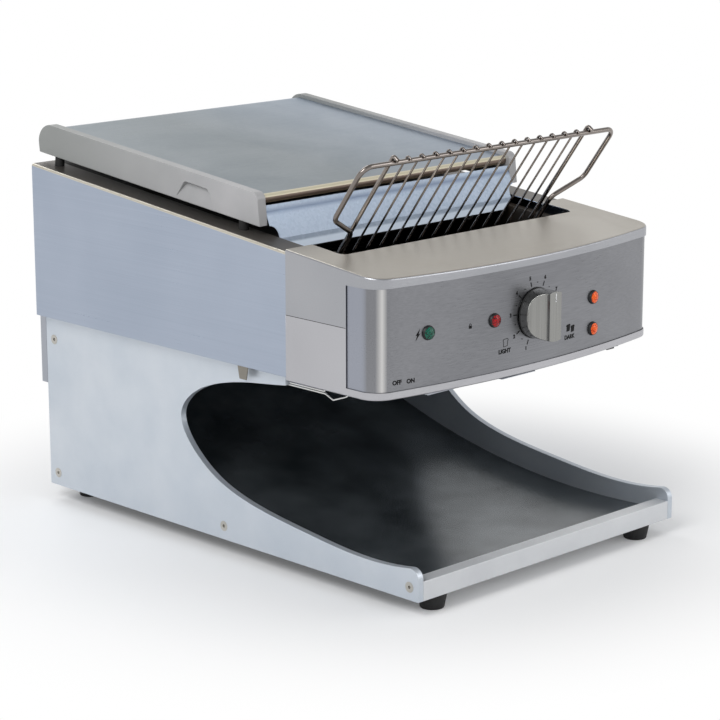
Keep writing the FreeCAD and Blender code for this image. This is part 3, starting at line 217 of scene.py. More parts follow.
def spread(tree, value, low, high, toLow=0.0, toHigh=1.0):
    part = tree.nodes.new("ShaderNodeMapRange")
    part.inputs["From Min"].default_value = low
    part.inputs["From Max"].default_value = high
    part.inputs["To Min"].default_value = toLow
    part.inputs["To Max"].default_value = toHigh
    tree.links.new(value, part.inputs["Value"])
    return part.outputs["Result"]


def combine(tree, first, second, kind="ADD"):  # two values or sockets, by addition or another step
    step = tree.nodes.new("ShaderNodeMath")
    step.operation = kind
    for socket, value in zip(step.inputs, (first, second)):
        if isinstance(value, (int, float)):
            socket.default_value = value
        else:
            tree.links.new(value, socket)
    return step.outputs[0]


def shareOf(tree, value, share):
    return combine(tree, value, share, "MULTIPLY")


def makeBrushGroup():  # long fine scratches along one axis, and soft broad bands
    group, start, end = newGroup("brushGrain", [("Scale", "NodeSocketVector", (4, 900, 900))],
                                 [("Height", "NodeSocketFloat"), ("Tone", "NodeSocketFloat")])
    streaks = noiseOf(group, objectPlace(group, start.outputs["Scale"]), scale=1, detail=5, rough=0.6)
    bands = noiseOf(group, objectPlace(group), scale=7, detail=2)
    cloud = shareOf(group, spread(group, streaks, low=0.3, high=0.7), 0.55)
    patch = shareOf(group, spread(group, bands, low=0.3, high=0.7), 0.45)
    group.links.new(spread(group, streaks, low=0.25, high=0.75), end.inputs["Height"])
    group.links.new(combine(group, cloud, patch), end.inputs["Tone"])
    return group


def makeSmudgeGroup():  # finger marks and wiped patches
    group, start, end = newGroup("handMarks", [("Size", "NodeSocketFloat", 9.0)],
                                 [("Mask", "NodeSocketFloat")])
    vector = objectPlace(group)
    broad = group.nodes.new("ShaderNodeTexNoise")
    broad.inputs["Detail"].default_value = 5
    broad.inputs["Distortion"].default_value = 0.8
    group.links.new(vector, broad.inputs["Vector"])
    group.links.new(start.outputs["Size"], broad.inputs["Scale"])
    fine = noiseOf(group, vector, scale=160, detail=2)
    joined = combine(group, broad.outputs["Fac"], shareOf(group, fine, 0.25))
    group.links.new(spread(group, joined, low=0.5, high=0.85), end.inputs["Mask"])
    return group


def makeGritGroup():  # fine even grain, as blasted metal or moulded plastic has
    group, start, end = newGroup("fineGrit", [("Scale", "NodeSocketFloat", 1800.0)],
                                 [("Height", "NodeSocketFloat"), ("Tone", "NodeSocketFloat")])
    vector = objectPlace(group)
    grit = group.nodes.new("ShaderNodeTexNoise")
    grit.inputs["Detail"].default_value = 2
    group.links.new(vector, grit.inputs["Vector"])
    group.links.new(start.outputs["Scale"], grit.inputs["Scale"])
    cloud = noiseOf(group, vector, scale=14, detail=3)
    group.links.new(grit.outputs["Fac"], end.inputs["Height"])
    mixed = combine(group, shareOf(group, cloud, 0.75), shareOf(group, grit.outputs["Fac"], 0.25))
    group.links.new(spread(group, mixed, low=0.35, high=0.65), end.inputs["Tone"])
    return group


def makeSpangleGroup():  # zinc crystals of a galvanised sheet
    group, start, end = newGroup("zincSpangle", [("Scale", "NodeSocketFloat", 120.0)],
                                 [("Tone", "NodeSocketFloat"), ("Height", "NodeSocketFloat")])
    vector = objectPlace(group)
    warp = group.nodes.new("ShaderNodeTexNoise")
    warp.inputs["Scale"].default_value = 30
    group.links.new(vector, warp.inputs["Vector"])
    lean = group.nodes.new("ShaderNodeVectorMath")
    lean.operation = "SCALE"
    lean.inputs["Scale"].default_value = 0.01
    group.links.new(warp.outputs["Color"], lean.inputs[0])
    moved = group.nodes.new("ShaderNodeVectorMath")
    group.links.new(vector, moved.inputs[0])
    group.links.new(lean.outputs[0], moved.inputs[1])
    cells = group.nodes.new("ShaderNodeTexVoronoi")
    group.links.new(moved.outputs[0], cells.inputs["Vector"])
    group.links.new(start.outputs["Scale"], cells.inputs["Scale"])
    parts = group.nodes.new("ShaderNodeSeparateColor")
    group.links.new(cells.outputs["Color"], parts.inputs["Color"])
    soft = noiseOf(group, vector, scale=420, detail=2)
    mixed = combine(group, shareOf(group, parts.outputs[0], 0.7), shareOf(group, soft, 0.3))
    group.links.new(mixed, end.inputs["Tone"])
    group.links.new(soft, end.inputs["Height"])
    return group


def makeScorchGroup():  # brown and blue tinge that heat leaves on steel
    group, start, end = newGroup("heatTinge", [("Amount", "NodeSocketFloat", 1.0)],
                                 [("Mask", "NodeSocketFloat"), ("Soot", "NodeSocketFloat")])
    vector = objectPlace(group)
    patch = noiseOf(group, vector, scale=11, detail=4)
    speck = noiseOf(group, vector, scale=240, detail=3, rough=0.7)
    amount = start.outputs["Amount"]
    group.links.new(shareOf(group, spread(group, patch, low=0.4, high=0.7), amount), end.inputs["Mask"])
    group.links.new(shareOf(group, spread(group, speck, low=0.62, high=0.75), amount), end.inputs["Soot"])
    return group


effects = {"brush": makeBrushGroup(), "smudge": makeSmudgeGroup(), "grit": makeGritGroup(),
           "spangle": makeSpangleGroup(), "scorch": makeScorchGroup()}
print("effect groups ready:", len(effects))


# materials

materials = {}


def newMaterial(name, roughness, metallic=0.0):
    materials[name] = bpy.data.materials.new(name)
    materials[name].use_nodes = True
    tree = materials[name].node_tree
    shader = tree.nodes["Principled BSDF"]
    shader.inputs["Roughness"].default_value = roughness
    shader.inputs["Metallic"].default_value = metallic
    return tree, shader


def placeEffect(tree, name, **values):
    part = tree.nodes.new("ShaderNodeGroup")
    part.node_tree = effects[name]
    for label, value in values.items():
        part.inputs[label].default_value = value
    return part


def mixColours(tree, mask, first, second):
    mix = tree.nodes.new("ShaderNodeMix")
    mix.data_type = "RGBA"
    tree.links.new(mask, mix.inputs["Factor"])
    for socket, colour in ((mix.inputs["A"], first), (mix.inputs["B"], second)):
        if isinstance(colour, tuple):
            socket.default_value = colour
        else:
            tree.links.new(colour, socket)
    return mix.outputs["Result"]


def twoTone(tree, shader, mask, dark, light):  # the base colour goes between two tones
    tree.links.new(mixColours(tree, mask, tone(*dark), tone(*light)), shader.inputs["Base Color"])


def roughBy(tree, shader, mask, roughness, less, more):  # roughness from less below to more above
    tree.links.new(spread(tree, mask, 0, 1, roughness - less, roughness + more), shader.inputs["Roughness"])


def bumpFrom(tree, shader, height, strength, distance):
    bump = tree.nodes.new("ShaderNodeBump")
    bump.inputs["Strength"].default_value = strength
    bump.inputs["Distance"].default_value = distance
    tree.links.new(height, bump.inputs["Height"])
    tree.links.new(bump.outputs["Normal"], shader.inputs["Normal"])


# the way of the brushing, as stretched scales in x, y and z
alongX = (4, 900, 900)
alongY = (900, 4, 900)
alongZ = (900, 900, 4)


def brushedSteel(name, dark, light, roughness, way, metallic=1.0, strength=0.12, smudge=0.1):
    tree, shader = newMaterial(name, roughness, metallic)
    brush = placeEffect(tree, "brush", Scale=way)
    marks = placeEffect(tree, "smudge", Size=8.0)
    twoTone(tree, shader, brush.outputs["Tone"], dark, light)
    roughBy(tree, shader, brush.outputs["Height"], roughness, less=0.05, more=0.07)
    socket = shader.inputs["Roughness"]
    rubbed = combine(tree, socket.links[0].from_socket, shareOf(tree, marks.outputs["Mask"], smudge))
    tree.links.new(rubbed, socket)
    bumpFrom(tree, shader, brush.outputs["Height"], strength, distance=0.0002)


def blastedMetal(name, dark, light, roughness, metallic=1.0, scale=1800.0, strength=0.1, wear=0.12):
    tree, shader = newMaterial(name, roughness, metallic)
    grit = placeEffect(tree, "grit", Scale=scale)
    marks = placeEffect(tree, "smudge", Size=12.0)
    twoTone(tree, shader, grit.outputs["Tone"], dark, light)
    roughBy(tree, shader, marks.outputs["Mask"], roughness, less=wear / 3, more=wear * 2 / 3)
    bumpFrom(tree, shader, grit.outputs["Height"], strength, distance=0.0001)


def placeAlong(tree, axis, low, high):  # 0 at the low place and 1 at the high one, in metres
    parts = tree.nodes.new("ShaderNodeSeparateXYZ")
    tree.links.new(objectPlace(tree), parts.inputs["Vector"])
    return spread(tree, parts.outputs[axis], low, high)


def tintPart(material, mask, colour):  # paints light and shade: a second tone over the base colour, where the mask is 1
    tree = material.node_tree
    socket = tree.nodes["Principled BSDF"].inputs["Base Color"]
    tree.links.new(mixColours(tree, mask, socket.links[0].from_socket, tone(*colour)), socket)


def zincSheet(name, dark, light, roughness, metallic=0.7):
    tree, shader = newMaterial(name, roughness, metallic)
    zinc = placeEffect(tree, "spangle", Scale=320.0)
    twoTone(tree, shader, zinc.outputs["Tone"], dark, light)
    roughBy(tree, shader, zinc.outputs["Tone"], roughness, less=0.08, more=0.08)
    bumpFrom(tree, shader, zinc.outputs["Height"], strength=0.15, distance=0.0002)


sootTone = (22, 18, 16)
inkSpread = 10


def bakedSteel(name, dark, light, tinge, roughness, metallic=1.0):
    tree, shader = newMaterial(name, roughness, metallic)
    grit = placeEffect(tree, "grit", Scale=900.0)
    scorch = placeEffect(tree, "scorch", Amount=1.0)
    clean = mixColours(tree, grit.outputs["Tone"], tone(*dark), tone(*light))
    stained = mixColours(tree, scorch.outputs["Mask"], clean, tone(*tinge))
    sooted = mixColours(tree, scorch.outputs["Soot"], stained, tone(*sootTone))
    tree.links.new(sooted, shader.inputs["Base Color"])
    roughBy(tree, shader, scorch.outputs["Mask"], roughness, less=0, more=0.15)
    bumpFrom(tree, shader, grit.outputs["Height"], strength=0.1, distance=0.0002)


def moulded(name, dark, light, roughness, scale=1400.0, strength=0.12, coat=0.0):
    tree, shader = newMaterial(name, roughness)
    grit = placeEffect(tree, "grit", Scale=scale)
    marks = placeEffect(tree, "smudge", Size=14.0)
    twoTone(tree, shader, grit.outputs["Tone"], dark, light)
    roughBy(tree, shader, marks.outputs["Mask"], roughness, less=0.05, more=0.07)
    shader.inputs["Coat Weight"].default_value = coat
    shader.inputs["Coat Roughness"].default_value = 0.12
    bumpFrom(tree, shader, grit.outputs["Height"], strength, distance=0.0001)


def lampLens(name, deep, lit, glow):  # clear moulded lens, its facets as cells
    tree, shader = newMaterial(name, roughness=0.22)
    cells = tree.nodes.new("ShaderNodeTexVoronoi")
    cells.inputs["Scale"].default_value = 620
    tree.links.new(objectPlace(tree), cells.inputs["Vector"])
    core = mixColours(tree, spread(tree, cells.outputs["Distance"], low=0.15, high=0.75),
                      tone(*lit), tone(*deep))
    tree.links.new(core, shader.inputs["Base Color"])
    tree.links.new(core, shader.inputs["Emission Color"])
    shader.inputs["Emission Strength"].default_value = glow
    shader.inputs["Specular IOR Level"].default_value = 0.25
    shader.inputs["Coat Weight"].default_value = 0.15
    shader.inputs["Coat Roughness"].default_value = 0.08
    bumpFrom(tree, shader, cells.outputs["Distance"], strength=0.5, distance=0.0004)


def inkPrint(name, ink):
    tree, shader = newMaterial(name, roughness=0.45)
    grit = placeEffect(tree, "grit", Scale=2600.0)
    twoTone(tree, shader, grit.outputs["Tone"], ink, [part + inkSpread for part in ink])
    shader.inputs["Specular IOR Level"].default_value = 0.12


# a dark tone, a light tone and the roughness; baked steel has the tone of its tinge before the roughness
brushedSteel("sideSteel", (158, 168, 184), (172, 181, 196), 0.3, alongY, strength=0.04)
brushedSteel("coverSteel", (188, 183, 174), (204, 199, 190), 0.34, alongX, strength=0.06)
# painted shade: a greyer, bluer copy of the cover steel for the cover's sides and bends
brushedSteel("coverFlankShade", (156, 158, 163), (174, 175, 179), 0.3, alongX, strength=0.04)
brushedSteel("housingSteel", (172, 172, 176), (188, 188, 192), 0.32, alongX, strength=0.05)
brushedSteel("fasciaSteel", (118, 119, 123), (142, 143, 147), 0.29, alongX, strength=0.07)
brushedSteel("plateSteel", (126, 136, 142), (140, 149, 155), 0.3, alongX, strength=0.04)
brushedSteel("backSteel", (156, 160, 168), (174, 178, 186), 0.36, alongX, strength=0.05)
# painted shade: a darker, browner copy of the side steel for the casing's top flanges
brushedSteel("flangeShadeSteel", (104, 100, 97), (124, 119, 113), 0.36, alongY, 0.8, 0.04)
# painted highlight: a pale cream copy of the side steel for the casing's outer bends
brushedSteel("bendHighlightSteel", (196, 191, 178), (214, 208, 194), 0.3, alongY, 0.7, 0.02)
# painted shade: the roof under the warming plate made nearly black, with heat tinge and soot specks
bakedSteel("sootAndShadeSteel", (26, 25, 24), (40, 38, 36), (30, 24, 18), 0.6, 0.4)
zincSheet("sheetZinc", (142, 156, 174), (168, 180, 196), 0.36, 0.5)
zincSheet("innerZinc", (132, 140, 150), (164, 172, 182), 0.4)
blastedMetal("panelAluminium", (193, 201, 210), (204, 210, 217), 0.42, 0.6, strength=0.03)
blastedMetal("barAluminium", (210, 212, 215), (222, 224, 226), 0.42, 0.5, strength=0.03)
brushedSteel("knobAluminium", (132, 132, 130), (166, 166, 163), 0.2, alongZ, strength=0.03)
blastedMetal("screwSteel", (172, 170, 164), (196, 193, 186), 0.3, 0.7, strength=0.04)
blastedMetal("catchSteel", (122, 119, 112), (146, 142, 134), 0.3, strength=0.05)
blastedMetal("rackSteel", (116, 109, 105), (146, 139, 134), 0.12, strength=0.03)
bakedSteel("beltSteel", (96, 92, 88), (134, 130, 126), (104, 82, 62), 0.32)
bakedSteel("linerSteel", (70, 68, 66), (98, 95, 92), (76, 62, 48), 0.42)
bakedSteel("heaterSheath", (42, 40, 38), (66, 62, 58), (72, 54, 44), 0.6, 0.3)
blastedMetal("slideBlack", (58, 64, 68), (104, 110, 114), 0.24, 0.6, 1100.0, 0.12, 0.03)
moulded("footRubber", (20, 20, 20), (32, 32, 32), 0.75, 900.0, 0.25)
moulded("capPlastic", (160, 160, 161), (174, 173, 174), 0.36, 1600.0, 0.04, 0.1)
moulded("blackPlastic", (16, 16, 17), (28, 28, 30), 0.5)
moulded("rockerPlastic", (12, 12, 13), (20, 20, 22), 0.22, 1600.0, 0.04, 0.5)
moulded("motorPaint", (72, 74, 77), (92, 94, 97), 0.45)
moulded("boardLacquer", (14, 58, 34), (24, 80, 50), 0.35, 500.0, 0.2, 0.3)
moulded("blockNylon", (206, 205, 198), (224, 223, 218), 0.5)
moulded("ceramic", (214, 210, 200), (232, 229, 222), 0.55, 900.0, 0.2)
blastedMetal("bearingBronze", (150, 112, 70), (176, 138, 92), 0.3)
bakedSteel("chainSteel", (52, 50, 48), (80, 77, 74), (60, 50, 40), 0.34)
blastedMetal("guardChrome", (196, 196, 196), (216, 216, 214), 0.12, strength=0.02)
lampLens("greenLens", (2, 26, 22), (0, 112, 88), 0.16)
lampLens("redLens", (64, 0, 4), (184, 2, 16), 0.2)
lampLens("amberLens", (150, 34, 4), (240, 104, 22), 0.5)
inkPrint("blackInk", (8, 8, 9))
inkPrint("whiteInk", (232, 232, 232))

# painted highlights, painted shade and painted reflections laid on some sheets as further tones, each by its
# place on the object in metres

paintedLightShifts = {
    "fasciaWrap": (-0.2385, -0.2405), "fasciaLitWrap": (164, 169, 182),
    "fasciaBend": (-0.2285, 0.0055), "fasciaBendHighlight": (206, 205, 204),
    "rollFront": (-0.0662, -0.0674), "rollDarkReflection": (112, 95, 84), "rollMetal": 0.35,
    "rollTop": (0.4432, 0.4440), "rollFoot": (0.4388, 0.4380),
    "rollTopHighlight": (214, 206, 180), "rollTan": (168, 150, 124),
    "plateAcross": (-0.05, 0.21), "plateLitRight": (164, 176, 190),
    "zincBand": (0.4275, 0.005), "zincShade": (112, 126, 148),
    "zincLip": (0.3935, 0.3915), "zincLitLip": (214, 226, 240),
    "capAlong": (0.02, 0.3), "capRear": (138, 140, 138)}


def bandAcross(tree, axis, centre, half):  # 1 in the middle of the band and 0 at its edges
    parts = tree.nodes.new("ShaderNodeSeparateXYZ")
    tree.links.new(objectPlace(tree), parts.inputs["Vector"])
    away = combine(tree, parts.outputs[axis], centre, "SUBTRACT")
    return spread(tree, combine(tree, away, 0, "ABSOLUTE"), half, 0)


def paintLightOnSheets():
    fascia, plate = materials["fasciaSteel"], materials["plateSteel"]
    zinc, cap = materials["sheetZinc"], materials["capPlastic"]
    # painted highlight on the fascia's left bend, and painted light on its side wrap
    tintPart(fascia, bandAcross(fascia.node_tree, "X", *paintedLightShifts["fasciaBend"]), paintedLightShifts["fasciaBendHighlight"])
    tintPart(fascia, placeAlong(fascia.node_tree, "X", *paintedLightShifts["fasciaWrap"]), paintedLightShifts["fasciaLitWrap"])
    # painted light: the plate lighter towards its right
    tintPart(plate, placeAlong(plate.node_tree, "X", *paintedLightShifts["plateAcross"]), paintedLightShifts["plateLitRight"])
    tree = plate.node_tree
    # painted reflections on the rolled front edge: a dark band, a highlight at its top and a paler line at
    # its foot, with the roll less metallic
    roll = placeAlong(tree, "Y", *paintedLightShifts["rollFront"])
    tintPart(plate, roll, paintedLightShifts["rollDarkReflection"])
    for height, colour in (("rollTop", "rollTopHighlight"), ("rollFoot", "rollTan")):
        mask = combine(tree, roll, placeAlong(tree, "Z", *paintedLightShifts[height]), "MULTIPLY")
        tintPart(plate, mask, paintedLightShifts[colour])
    tree.links.new(spread(tree, roll, 0, 1, 1, paintedLightShifts["rollMetal"]),
                   tree.nodes["Principled BSDF"].inputs["Metallic"])
    # painted shade in a band near the deflector's top, and painted light on its lower lip
    tintPart(zinc, bandAcross(zinc.node_tree, "Z", *paintedLightShifts["zincBand"]), paintedLightShifts["zincShade"])
    tintPart(zinc, placeAlong(zinc.node_tree, "Z", *paintedLightShifts["zincLip"]), paintedLightShifts["zincLitLip"])
    # painted shade: the caps darker towards the rear
    tintPart(cap, placeAlong(cap.node_tree, "Y", *paintedLightShifts["capAlong"]), paintedLightShifts["capRear"])


paintLightOnSheets()
print("materials ready:", len(materials))

finishes = {
    "panelAluminium": ("base_panel_left", "base_panel_right"),
    "barAluminium": ("front_bar",),
    "slideBlack": ("toast_slide",),
    "footRubber": ("rubber_feet", "top_rest_posts"),
    "sideSteel": ("casing_side_left", "casing_side_right"),
    "backSteel": ("casing_back", "rear_cover", "base_rear_panel", "rear_foot_plates", "crumb_tray"),
    # painted shade: the roof is made nearly black
    "sootAndShadeSteel": ("casing_roof",),
    "coverSteel": ("front_top_cover",),
    "housingSteel": ("front_lower_housing",),
    "fasciaSteel": ("fascia_panel",),
    "plateSteel": ("warming_plate",),
    "sheetZinc": ("deflector_plate",),
    "innerZinc": ("chassis_floor", "tray_rails"),
    "capPlastic": ("warming_cap_left", "warming_cap_right"),
    "knobAluminium": ("control_knob",),
    "screwSteel": ("steel_screws", "tie_rods", "knob_spindle", "drive_shaft", "idler_shaft"),
    "catchSteel": ("casing_catch",),
    "guardChrome": ("switch_guard",),
    "rackSteel": ("rack_frame", "rack_wires", "rack_supports"),
    "beltSteel": ("conveyor_strands", "drive_sprockets"),
    "linerSteel": ("chamber_plate_left", "chamber_plate_right", "chamber_liners", "belt_guides"),
    "heaterSheath": ("heating_elements",),
    "ceramic": ("element_insulators",),
    "bearingBronze": ("shaft_bearings",),
    "chainSteel": ("drive_chain", "chain_wheel", "motor_sprocket"),
    "motorPaint": ("gear_motor",),
    "blackPlastic": ("lamp_bezels", "switch_bodies", "cable_gland", "speed_regulator", "fan_frame",
                     "fan_rotor"),
    "rockerPlastic": ("power_rocker", "mode_rocker"),
    "greenLens": ("lamp_lens_green",),
    "redLens": ("lamp_lens_red",),
    "amberLens": ("lamp_lenses_amber",),
    "boardLacquer": ("control_board",),
    "blockNylon": ("terminal_block",),
}


def dress(piece, name):
    piece.data.materials.clear()
    piece.data.materials.append(materials[name])


for finishName, members in finishes.items():
    for member in members:
        dress(nodes[member], finishName)
print("nodes dressed")


# copies of nodes with softened edges, each standing for its node

def alone(piece):
    bpy.ops.object.select_all(action="DESELECT")
    piece.select_set(True)
    bpy.context.view_layer.objects.active = piece


def bodyOf(nodeName):
    for body, members in frame["record"]["behaviour"]["bodies"].items():
        if nodeName in members:
            return body


cleanUp = {"weld": 0.01, "flatTurn": 0.6, "sharpTurn": 35, "smoothTurn": 32, "bendTurn": 0.5}


def nodeCopy(nodeName, pieceName):  # a merged copy, with its flat faces whole again
    alone(nodes[nodeName])
    bpy.ops.object.duplicate()
    piece = bpy.context.object
    piece.name = pieceName
    piece.data.name = pieceName
    for key in list(piece.keys()):
        del piece[key]
    alone(piece)
    bpy.ops.object.mode_set(mode="EDIT")
    bpy.ops.mesh.select_all(action="SELECT")
    bpy.ops.mesh.remove_doubles(threshold=cleanUp["weld"] * mm)
    bpy.ops.mesh.dissolve_limited(angle_limit=math.radians(cleanUp["flatTurn"]))
    bpy.ops.mesh.select_all(action="DESELECT")
    bpy.ops.object.mode_set(mode="OBJECT")
    return piece


def standsFor(piece, nodeName):
    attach(piece, bodyOf(nodeName))
    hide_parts(nodeName)


def breakEdges(piece, width, steps):  # a small round on every sharp edge
    alone(piece)
    bevel = piece.modifiers.new("brokenEdges", "BEVEL")
    bevel.width = width * mm
    bevel.segments = steps
    bevel.limit_method = "ANGLE"
    bevel.angle_limit = math.radians(cleanUp["sharpTurn"])
    bevel.use_clamp_overlap = False
    bpy.ops.object.modifier_apply(modifier=bevel.name)


def smoothOff(piece):
    alone(piece)
    bpy.ops.object.shade_smooth_by_angle(angle=math.radians(cleanUp["smoothTurn"]))
    even = piece.modifiers.new("evenShading", "WEIGHTED_NORMAL")
    even.keep_sharp = True
    bpy.ops.object.modifier_apply(modifier=even.name)


softEdges = {"base_panel_left": 0.6, "base_panel_right": 0.6, "front_bar": 0.7, "warming_cap_left": 0.9,
             "warming_cap_right": 0.9, "control_knob": 0.5, "casing_catch": 0.4, "lamp_bezels": 0.5,
             "crumb_tray": 0.3, "rubber_feet": 0.8, "terminal_block": 0.4, "gear_motor": 0.6}
softSteps = 2


def pieceTitle(nodeName):
    words = nodeName.split("_")
    return words[0] + "".join(word.capitalize() for word in words[1:]) + "Soft"


for nodeName, width in softEdges.items():
    softPiece = nodeCopy(nodeName, pieceTitle(nodeName))
    breakEdges(softPiece, width, softSteps)
    smoothOff(softPiece)
    standsFor(softPiece, nodeName)
print("softened pieces:", len(softEdges))


# sheets whose outer bends are rounder than their cut edges

bends = {"casingSide": (1.9, 4), "coverTop": (2.4, 5), "housingFoot": (2.2, 5),  # radius in mm, and steps
         "cutEdge": 0.22, "flat": 0.9, "upright": 0.2,
         "onWall": 0.3, "onFoot": 0.2, "rearClear": 0.5, "wallClear": 1.5, "mouthClear": 12,
         "sideReach": 6.5, "frontReach": 72.5}
sheetTones = {"bend": (0.25, 0.93), "coverSide": 0.75}  # how far up a face looks, from 0 to 1, where the painted highlight and painted shade by facing begin


def bevelEdges(piece, wanted, width, steps):  # rounds the outward edges that pass the test
    alone(piece)
    bpy.ops.object.mode_set(mode="EDIT")
    bpy.ops.mesh.select_all(action="DESELECT")
    bpy.ops.mesh.select_mode(type="EDGE")
    mesh = bmesh.from_edit_mesh(piece.data)
    found = [edge for edge in mesh.edges if len(edge.link_faces) == 2
             and edge.calc_face_angle_signed(0) > cleanUp["bendTurn"] and wanted(edge)]
    for edge in found:
        edge.select_set(True)
    bmesh.update_edit_mesh(piece.data)
    bpy.ops.mesh.bevel(offset=width * mm, segments=steps, affect="EDGES", clamp_overlap=False)
    bpy.ops.object.mode_set(mode="OBJECT")
    print(piece.name, "bends:", len(found))


def paintFaces(piece, finish, wanted):  # gives a second material to the faces whose normal passes the test, here painted highlight and painted shade by which way a face looks
    piece.data.materials.append(materials[finish])
    for face in piece.data.polygons:
        if wanted(face.normal):
            face.material_index = len(piece.data.materials) - 1


def isBend(edge, way):  # between a wall and a sheet that looks up, or down where way is -1
    first, second = (face.normal.z for face in edge.link_faces)
    return max(way * first, way * second) > bends["flat"] and min(abs(first), abs(second)) < bends["upright"]


def onWall(edge, wallX):
    return all(abs(corner.co.x - wallX) < bends["onWall"] * mm for corner in edge.verts)


def outsideMouth(edge):  # on the cover's outline, and not round the opening for the bread
    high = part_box("front_top_cover")[1]
    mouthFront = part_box("chamber_liners")[0].y
    spot = (edge.verts[0].co + edge.verts[1].co) / 2
    atRear = spot.y > high.y - bends["rearClear"] * mm
    atSide = abs(spot.x) > high.x - bends["wallClear"] * mm
    return not atRear and (atSide or spot.y < mouthFront - bends["mouthClear"] * mm)


def onHousingFoot(edge):  # along the front of the housing's foot, and a little way round its corners
    low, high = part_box("front_lower_housing")
    spot = edge.verts[0].co
    lowDown = all(corner.co.z < low.z + bends["onFoot"] * mm for corner in edge.verts)
    atSide = abs(spot.x) > high.x - bends["sideReach"] * mm
    return lowDown and (atSide or spot.y < low.y + bends["frontReach"] * mm)


def bentSheet(nodeName, pieceName, bendName, wanted):
    sheet = nodeCopy(nodeName, pieceName)
    bevelEdges(sheet, wanted, *bends[bendName])
    breakEdges(sheet, bends["cutEdge"], steps=1)
    smoothOff(sheet)
    standsFor(sheet, nodeName)
    return sheet


def bentSide(side):
    low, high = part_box("casing_side_" + side)
    wallX = low.x if side == "left" else high.x
    wall = bentSheet("casing_side_" + side, "casingSide" + side.capitalize() + "Bent", "casingSide",
                     lambda edge: isBend(edge, 1) and onWall(edge, wallX))
    least, most = sheetTones["bend"]
    # painted highlight on the outer bends
    paintFaces(wall, "bendHighlightSteel", lambda normal: least < normal.z < most)
    # painted shade on the top flanges
    paintFaces(wall, "flangeShadeSteel", lambda normal: normal.z >= most)


bentSide("left")
bentSide("right")
topCover = bentSheet("front_top_cover", "frontTopCoverBent", "coverTop",
                     lambda edge: isBend(edge, 1) and outsideMouth(edge))
# painted shade on the cover's sides and bends
paintFaces(topCover, "coverFlankShade", lambda normal: normal.z < sheetTones["coverSide"])
bentSheet("front_lower_housing", "frontLowerHousingBent", "housingFoot",
          lambda edge: isBend(edge, -1) and onHousingFoot(edge))
print("bent sheets ready")


# dial marks, words and signs printed on the fascia, drawn flat in front of it, in mm across and up

prints = {"easel": -400, "lift": 0.15, "thick": 0.08, "weight": 0.3, "wordSize": 7.0, "curveSteps": 4,
          "words": {"OFF": (-210.5, 262), "ON": (-192, 261.5), "LIGHT": (-52, 274.5), "DARK": (63, 272.5)},
          "bolt": (-182.3, 313), "paleSlice": (-50.5, 284.5, 9.5), "sliceLine": 0.6,
          "darkSlices": ((60.5, 284, 9), (68.8, 282, 8.6))}
padlock = {"place": (-106.5, 312), "bodyWide": 4.4, "bodyTall": 3.4, "bodyDrop": 0.9,
           "loopWide": 1.5, "loopTall": 2, "loopRise": 1, "loopParts": 5, "line": 0.7}
dial = {"centre": (0, 312), "digits": 8, "firstTurn": -158, "turnStep": 36,
        "digitAt": 43.0, "digitSize": 6.0,
        "tickFrom": 32.5, "tickTo": 38.5, "tickWide": 1.3, "dotAt": 36.0, "dotSize": 1.5, "dotSides": 8}
# outlines of a slice, as shares of its size, and of the bolt, in mm
sliceOutline = ((-0.36, -0.5), (0.3, -0.42), (0.36, 0.2), (0.46, 0.34), (0.3, 0.5), (-0.34, 0.42),
                (-0.46, 0.26), (-0.34, 0.12))
boltTop = ((3.1, 7), (-3.1, -0.9), (0.6, -0.3))
boltFoot = ((-3.1, -7), (3.1, 1.1), (-0.6, 0.5))


def onEasel(x, z):
    return (x * mm, prints["easel"] * mm, z * mm)


def applyPlace(piece):
    alone(piece)
    bpy.ops.object.transform_apply(location=True, rotation=True, scale=True)
    return piece


def flatText(words, size, x, z):
    bpy.ops.object.text_add()
    text = bpy.context.object
    text.data.body = words
    text.data.size = size * mm
    text.data.align_x = "CENTER"
    text.data.align_y = "CENTER"
    text.data.offset = prints["weight"] * mm
    text.data.resolution_u = prints["curveSteps"]
    alone(text)
    bpy.ops.object.convert(target="MESH")
    text.rotation_euler = (math.pi / 2, 0, 0)
    text.location = onEasel(x, z)
    return applyPlace(text)


def flatBar(x, z, wide, tall, turn=0):
    bpy.ops.mesh.primitive_plane_add(size=1, location=onEasel(x, z), rotation=(math.pi / 2, -turn, 0))
    bar = bpy.context.object
    bar.scale = (wide * mm, tall * mm, 1)
    return applyPlace(bar)


def flatShape(corners):  # an outline that no primitive has
    mesh = bpy.data.meshes.new("flatShape")
    shape = bpy.data.objects.new("flatShape", mesh)
    bpy.context.collection.objects.link(shape)
    paper = bmesh.new()
    face = paper.faces.new([paper.verts.new(onEasel(x, z)) for x, z in corners])
    face.normal_update()
    if face.normal.y > 0:
        face.normal_flip()
    paper.to_mesh(mesh)
    paper.free()
    return shape


def stroke(start, end, wide):
    across, up = end[0] - start[0], end[1] - start[1]
    return flatBar((start[0] + end[0]) / 2, (start[1] + end[1]) / 2, math.hypot(across, up), wide,
                   math.atan2(up, across))


def onDial(turn, radius):
    return (dial["centre"][0] + radius * math.sin(turn), dial["centre"][1] + radius * math.cos(turn))


def dialMarks():
    marks = []
    for i in range(dial["digits"]):
        turn = math.radians(dial["firstTurn"] + i * dial["turnStep"])
        marks.append(stroke(onDial(turn, dial["tickFrom"]), onDial(turn, dial["tickTo"]), dial["tickWide"]))
        marks.append(flatText(str(i + 1), dial["digitSize"], *onDial(turn, dial["digitAt"])))
        halfway = turn + math.radians(dial["turnStep"] / 2)
        bpy.ops.mesh.primitive_circle_add(vertices=dial["dotSides"], radius=dial["dotSize"] / 2 * mm,
                                          fill_type="NGON", rotation=(math.pi / 2, 0, 0),
                                          location=onEasel(*onDial(halfway, dial["dotAt"])))
        marks.append(applyPlace(bpy.context.object))
    return marks


def wordMarks():
    return [flatText(word, prints["wordSize"], *place) for word, place in prints["words"].items()]


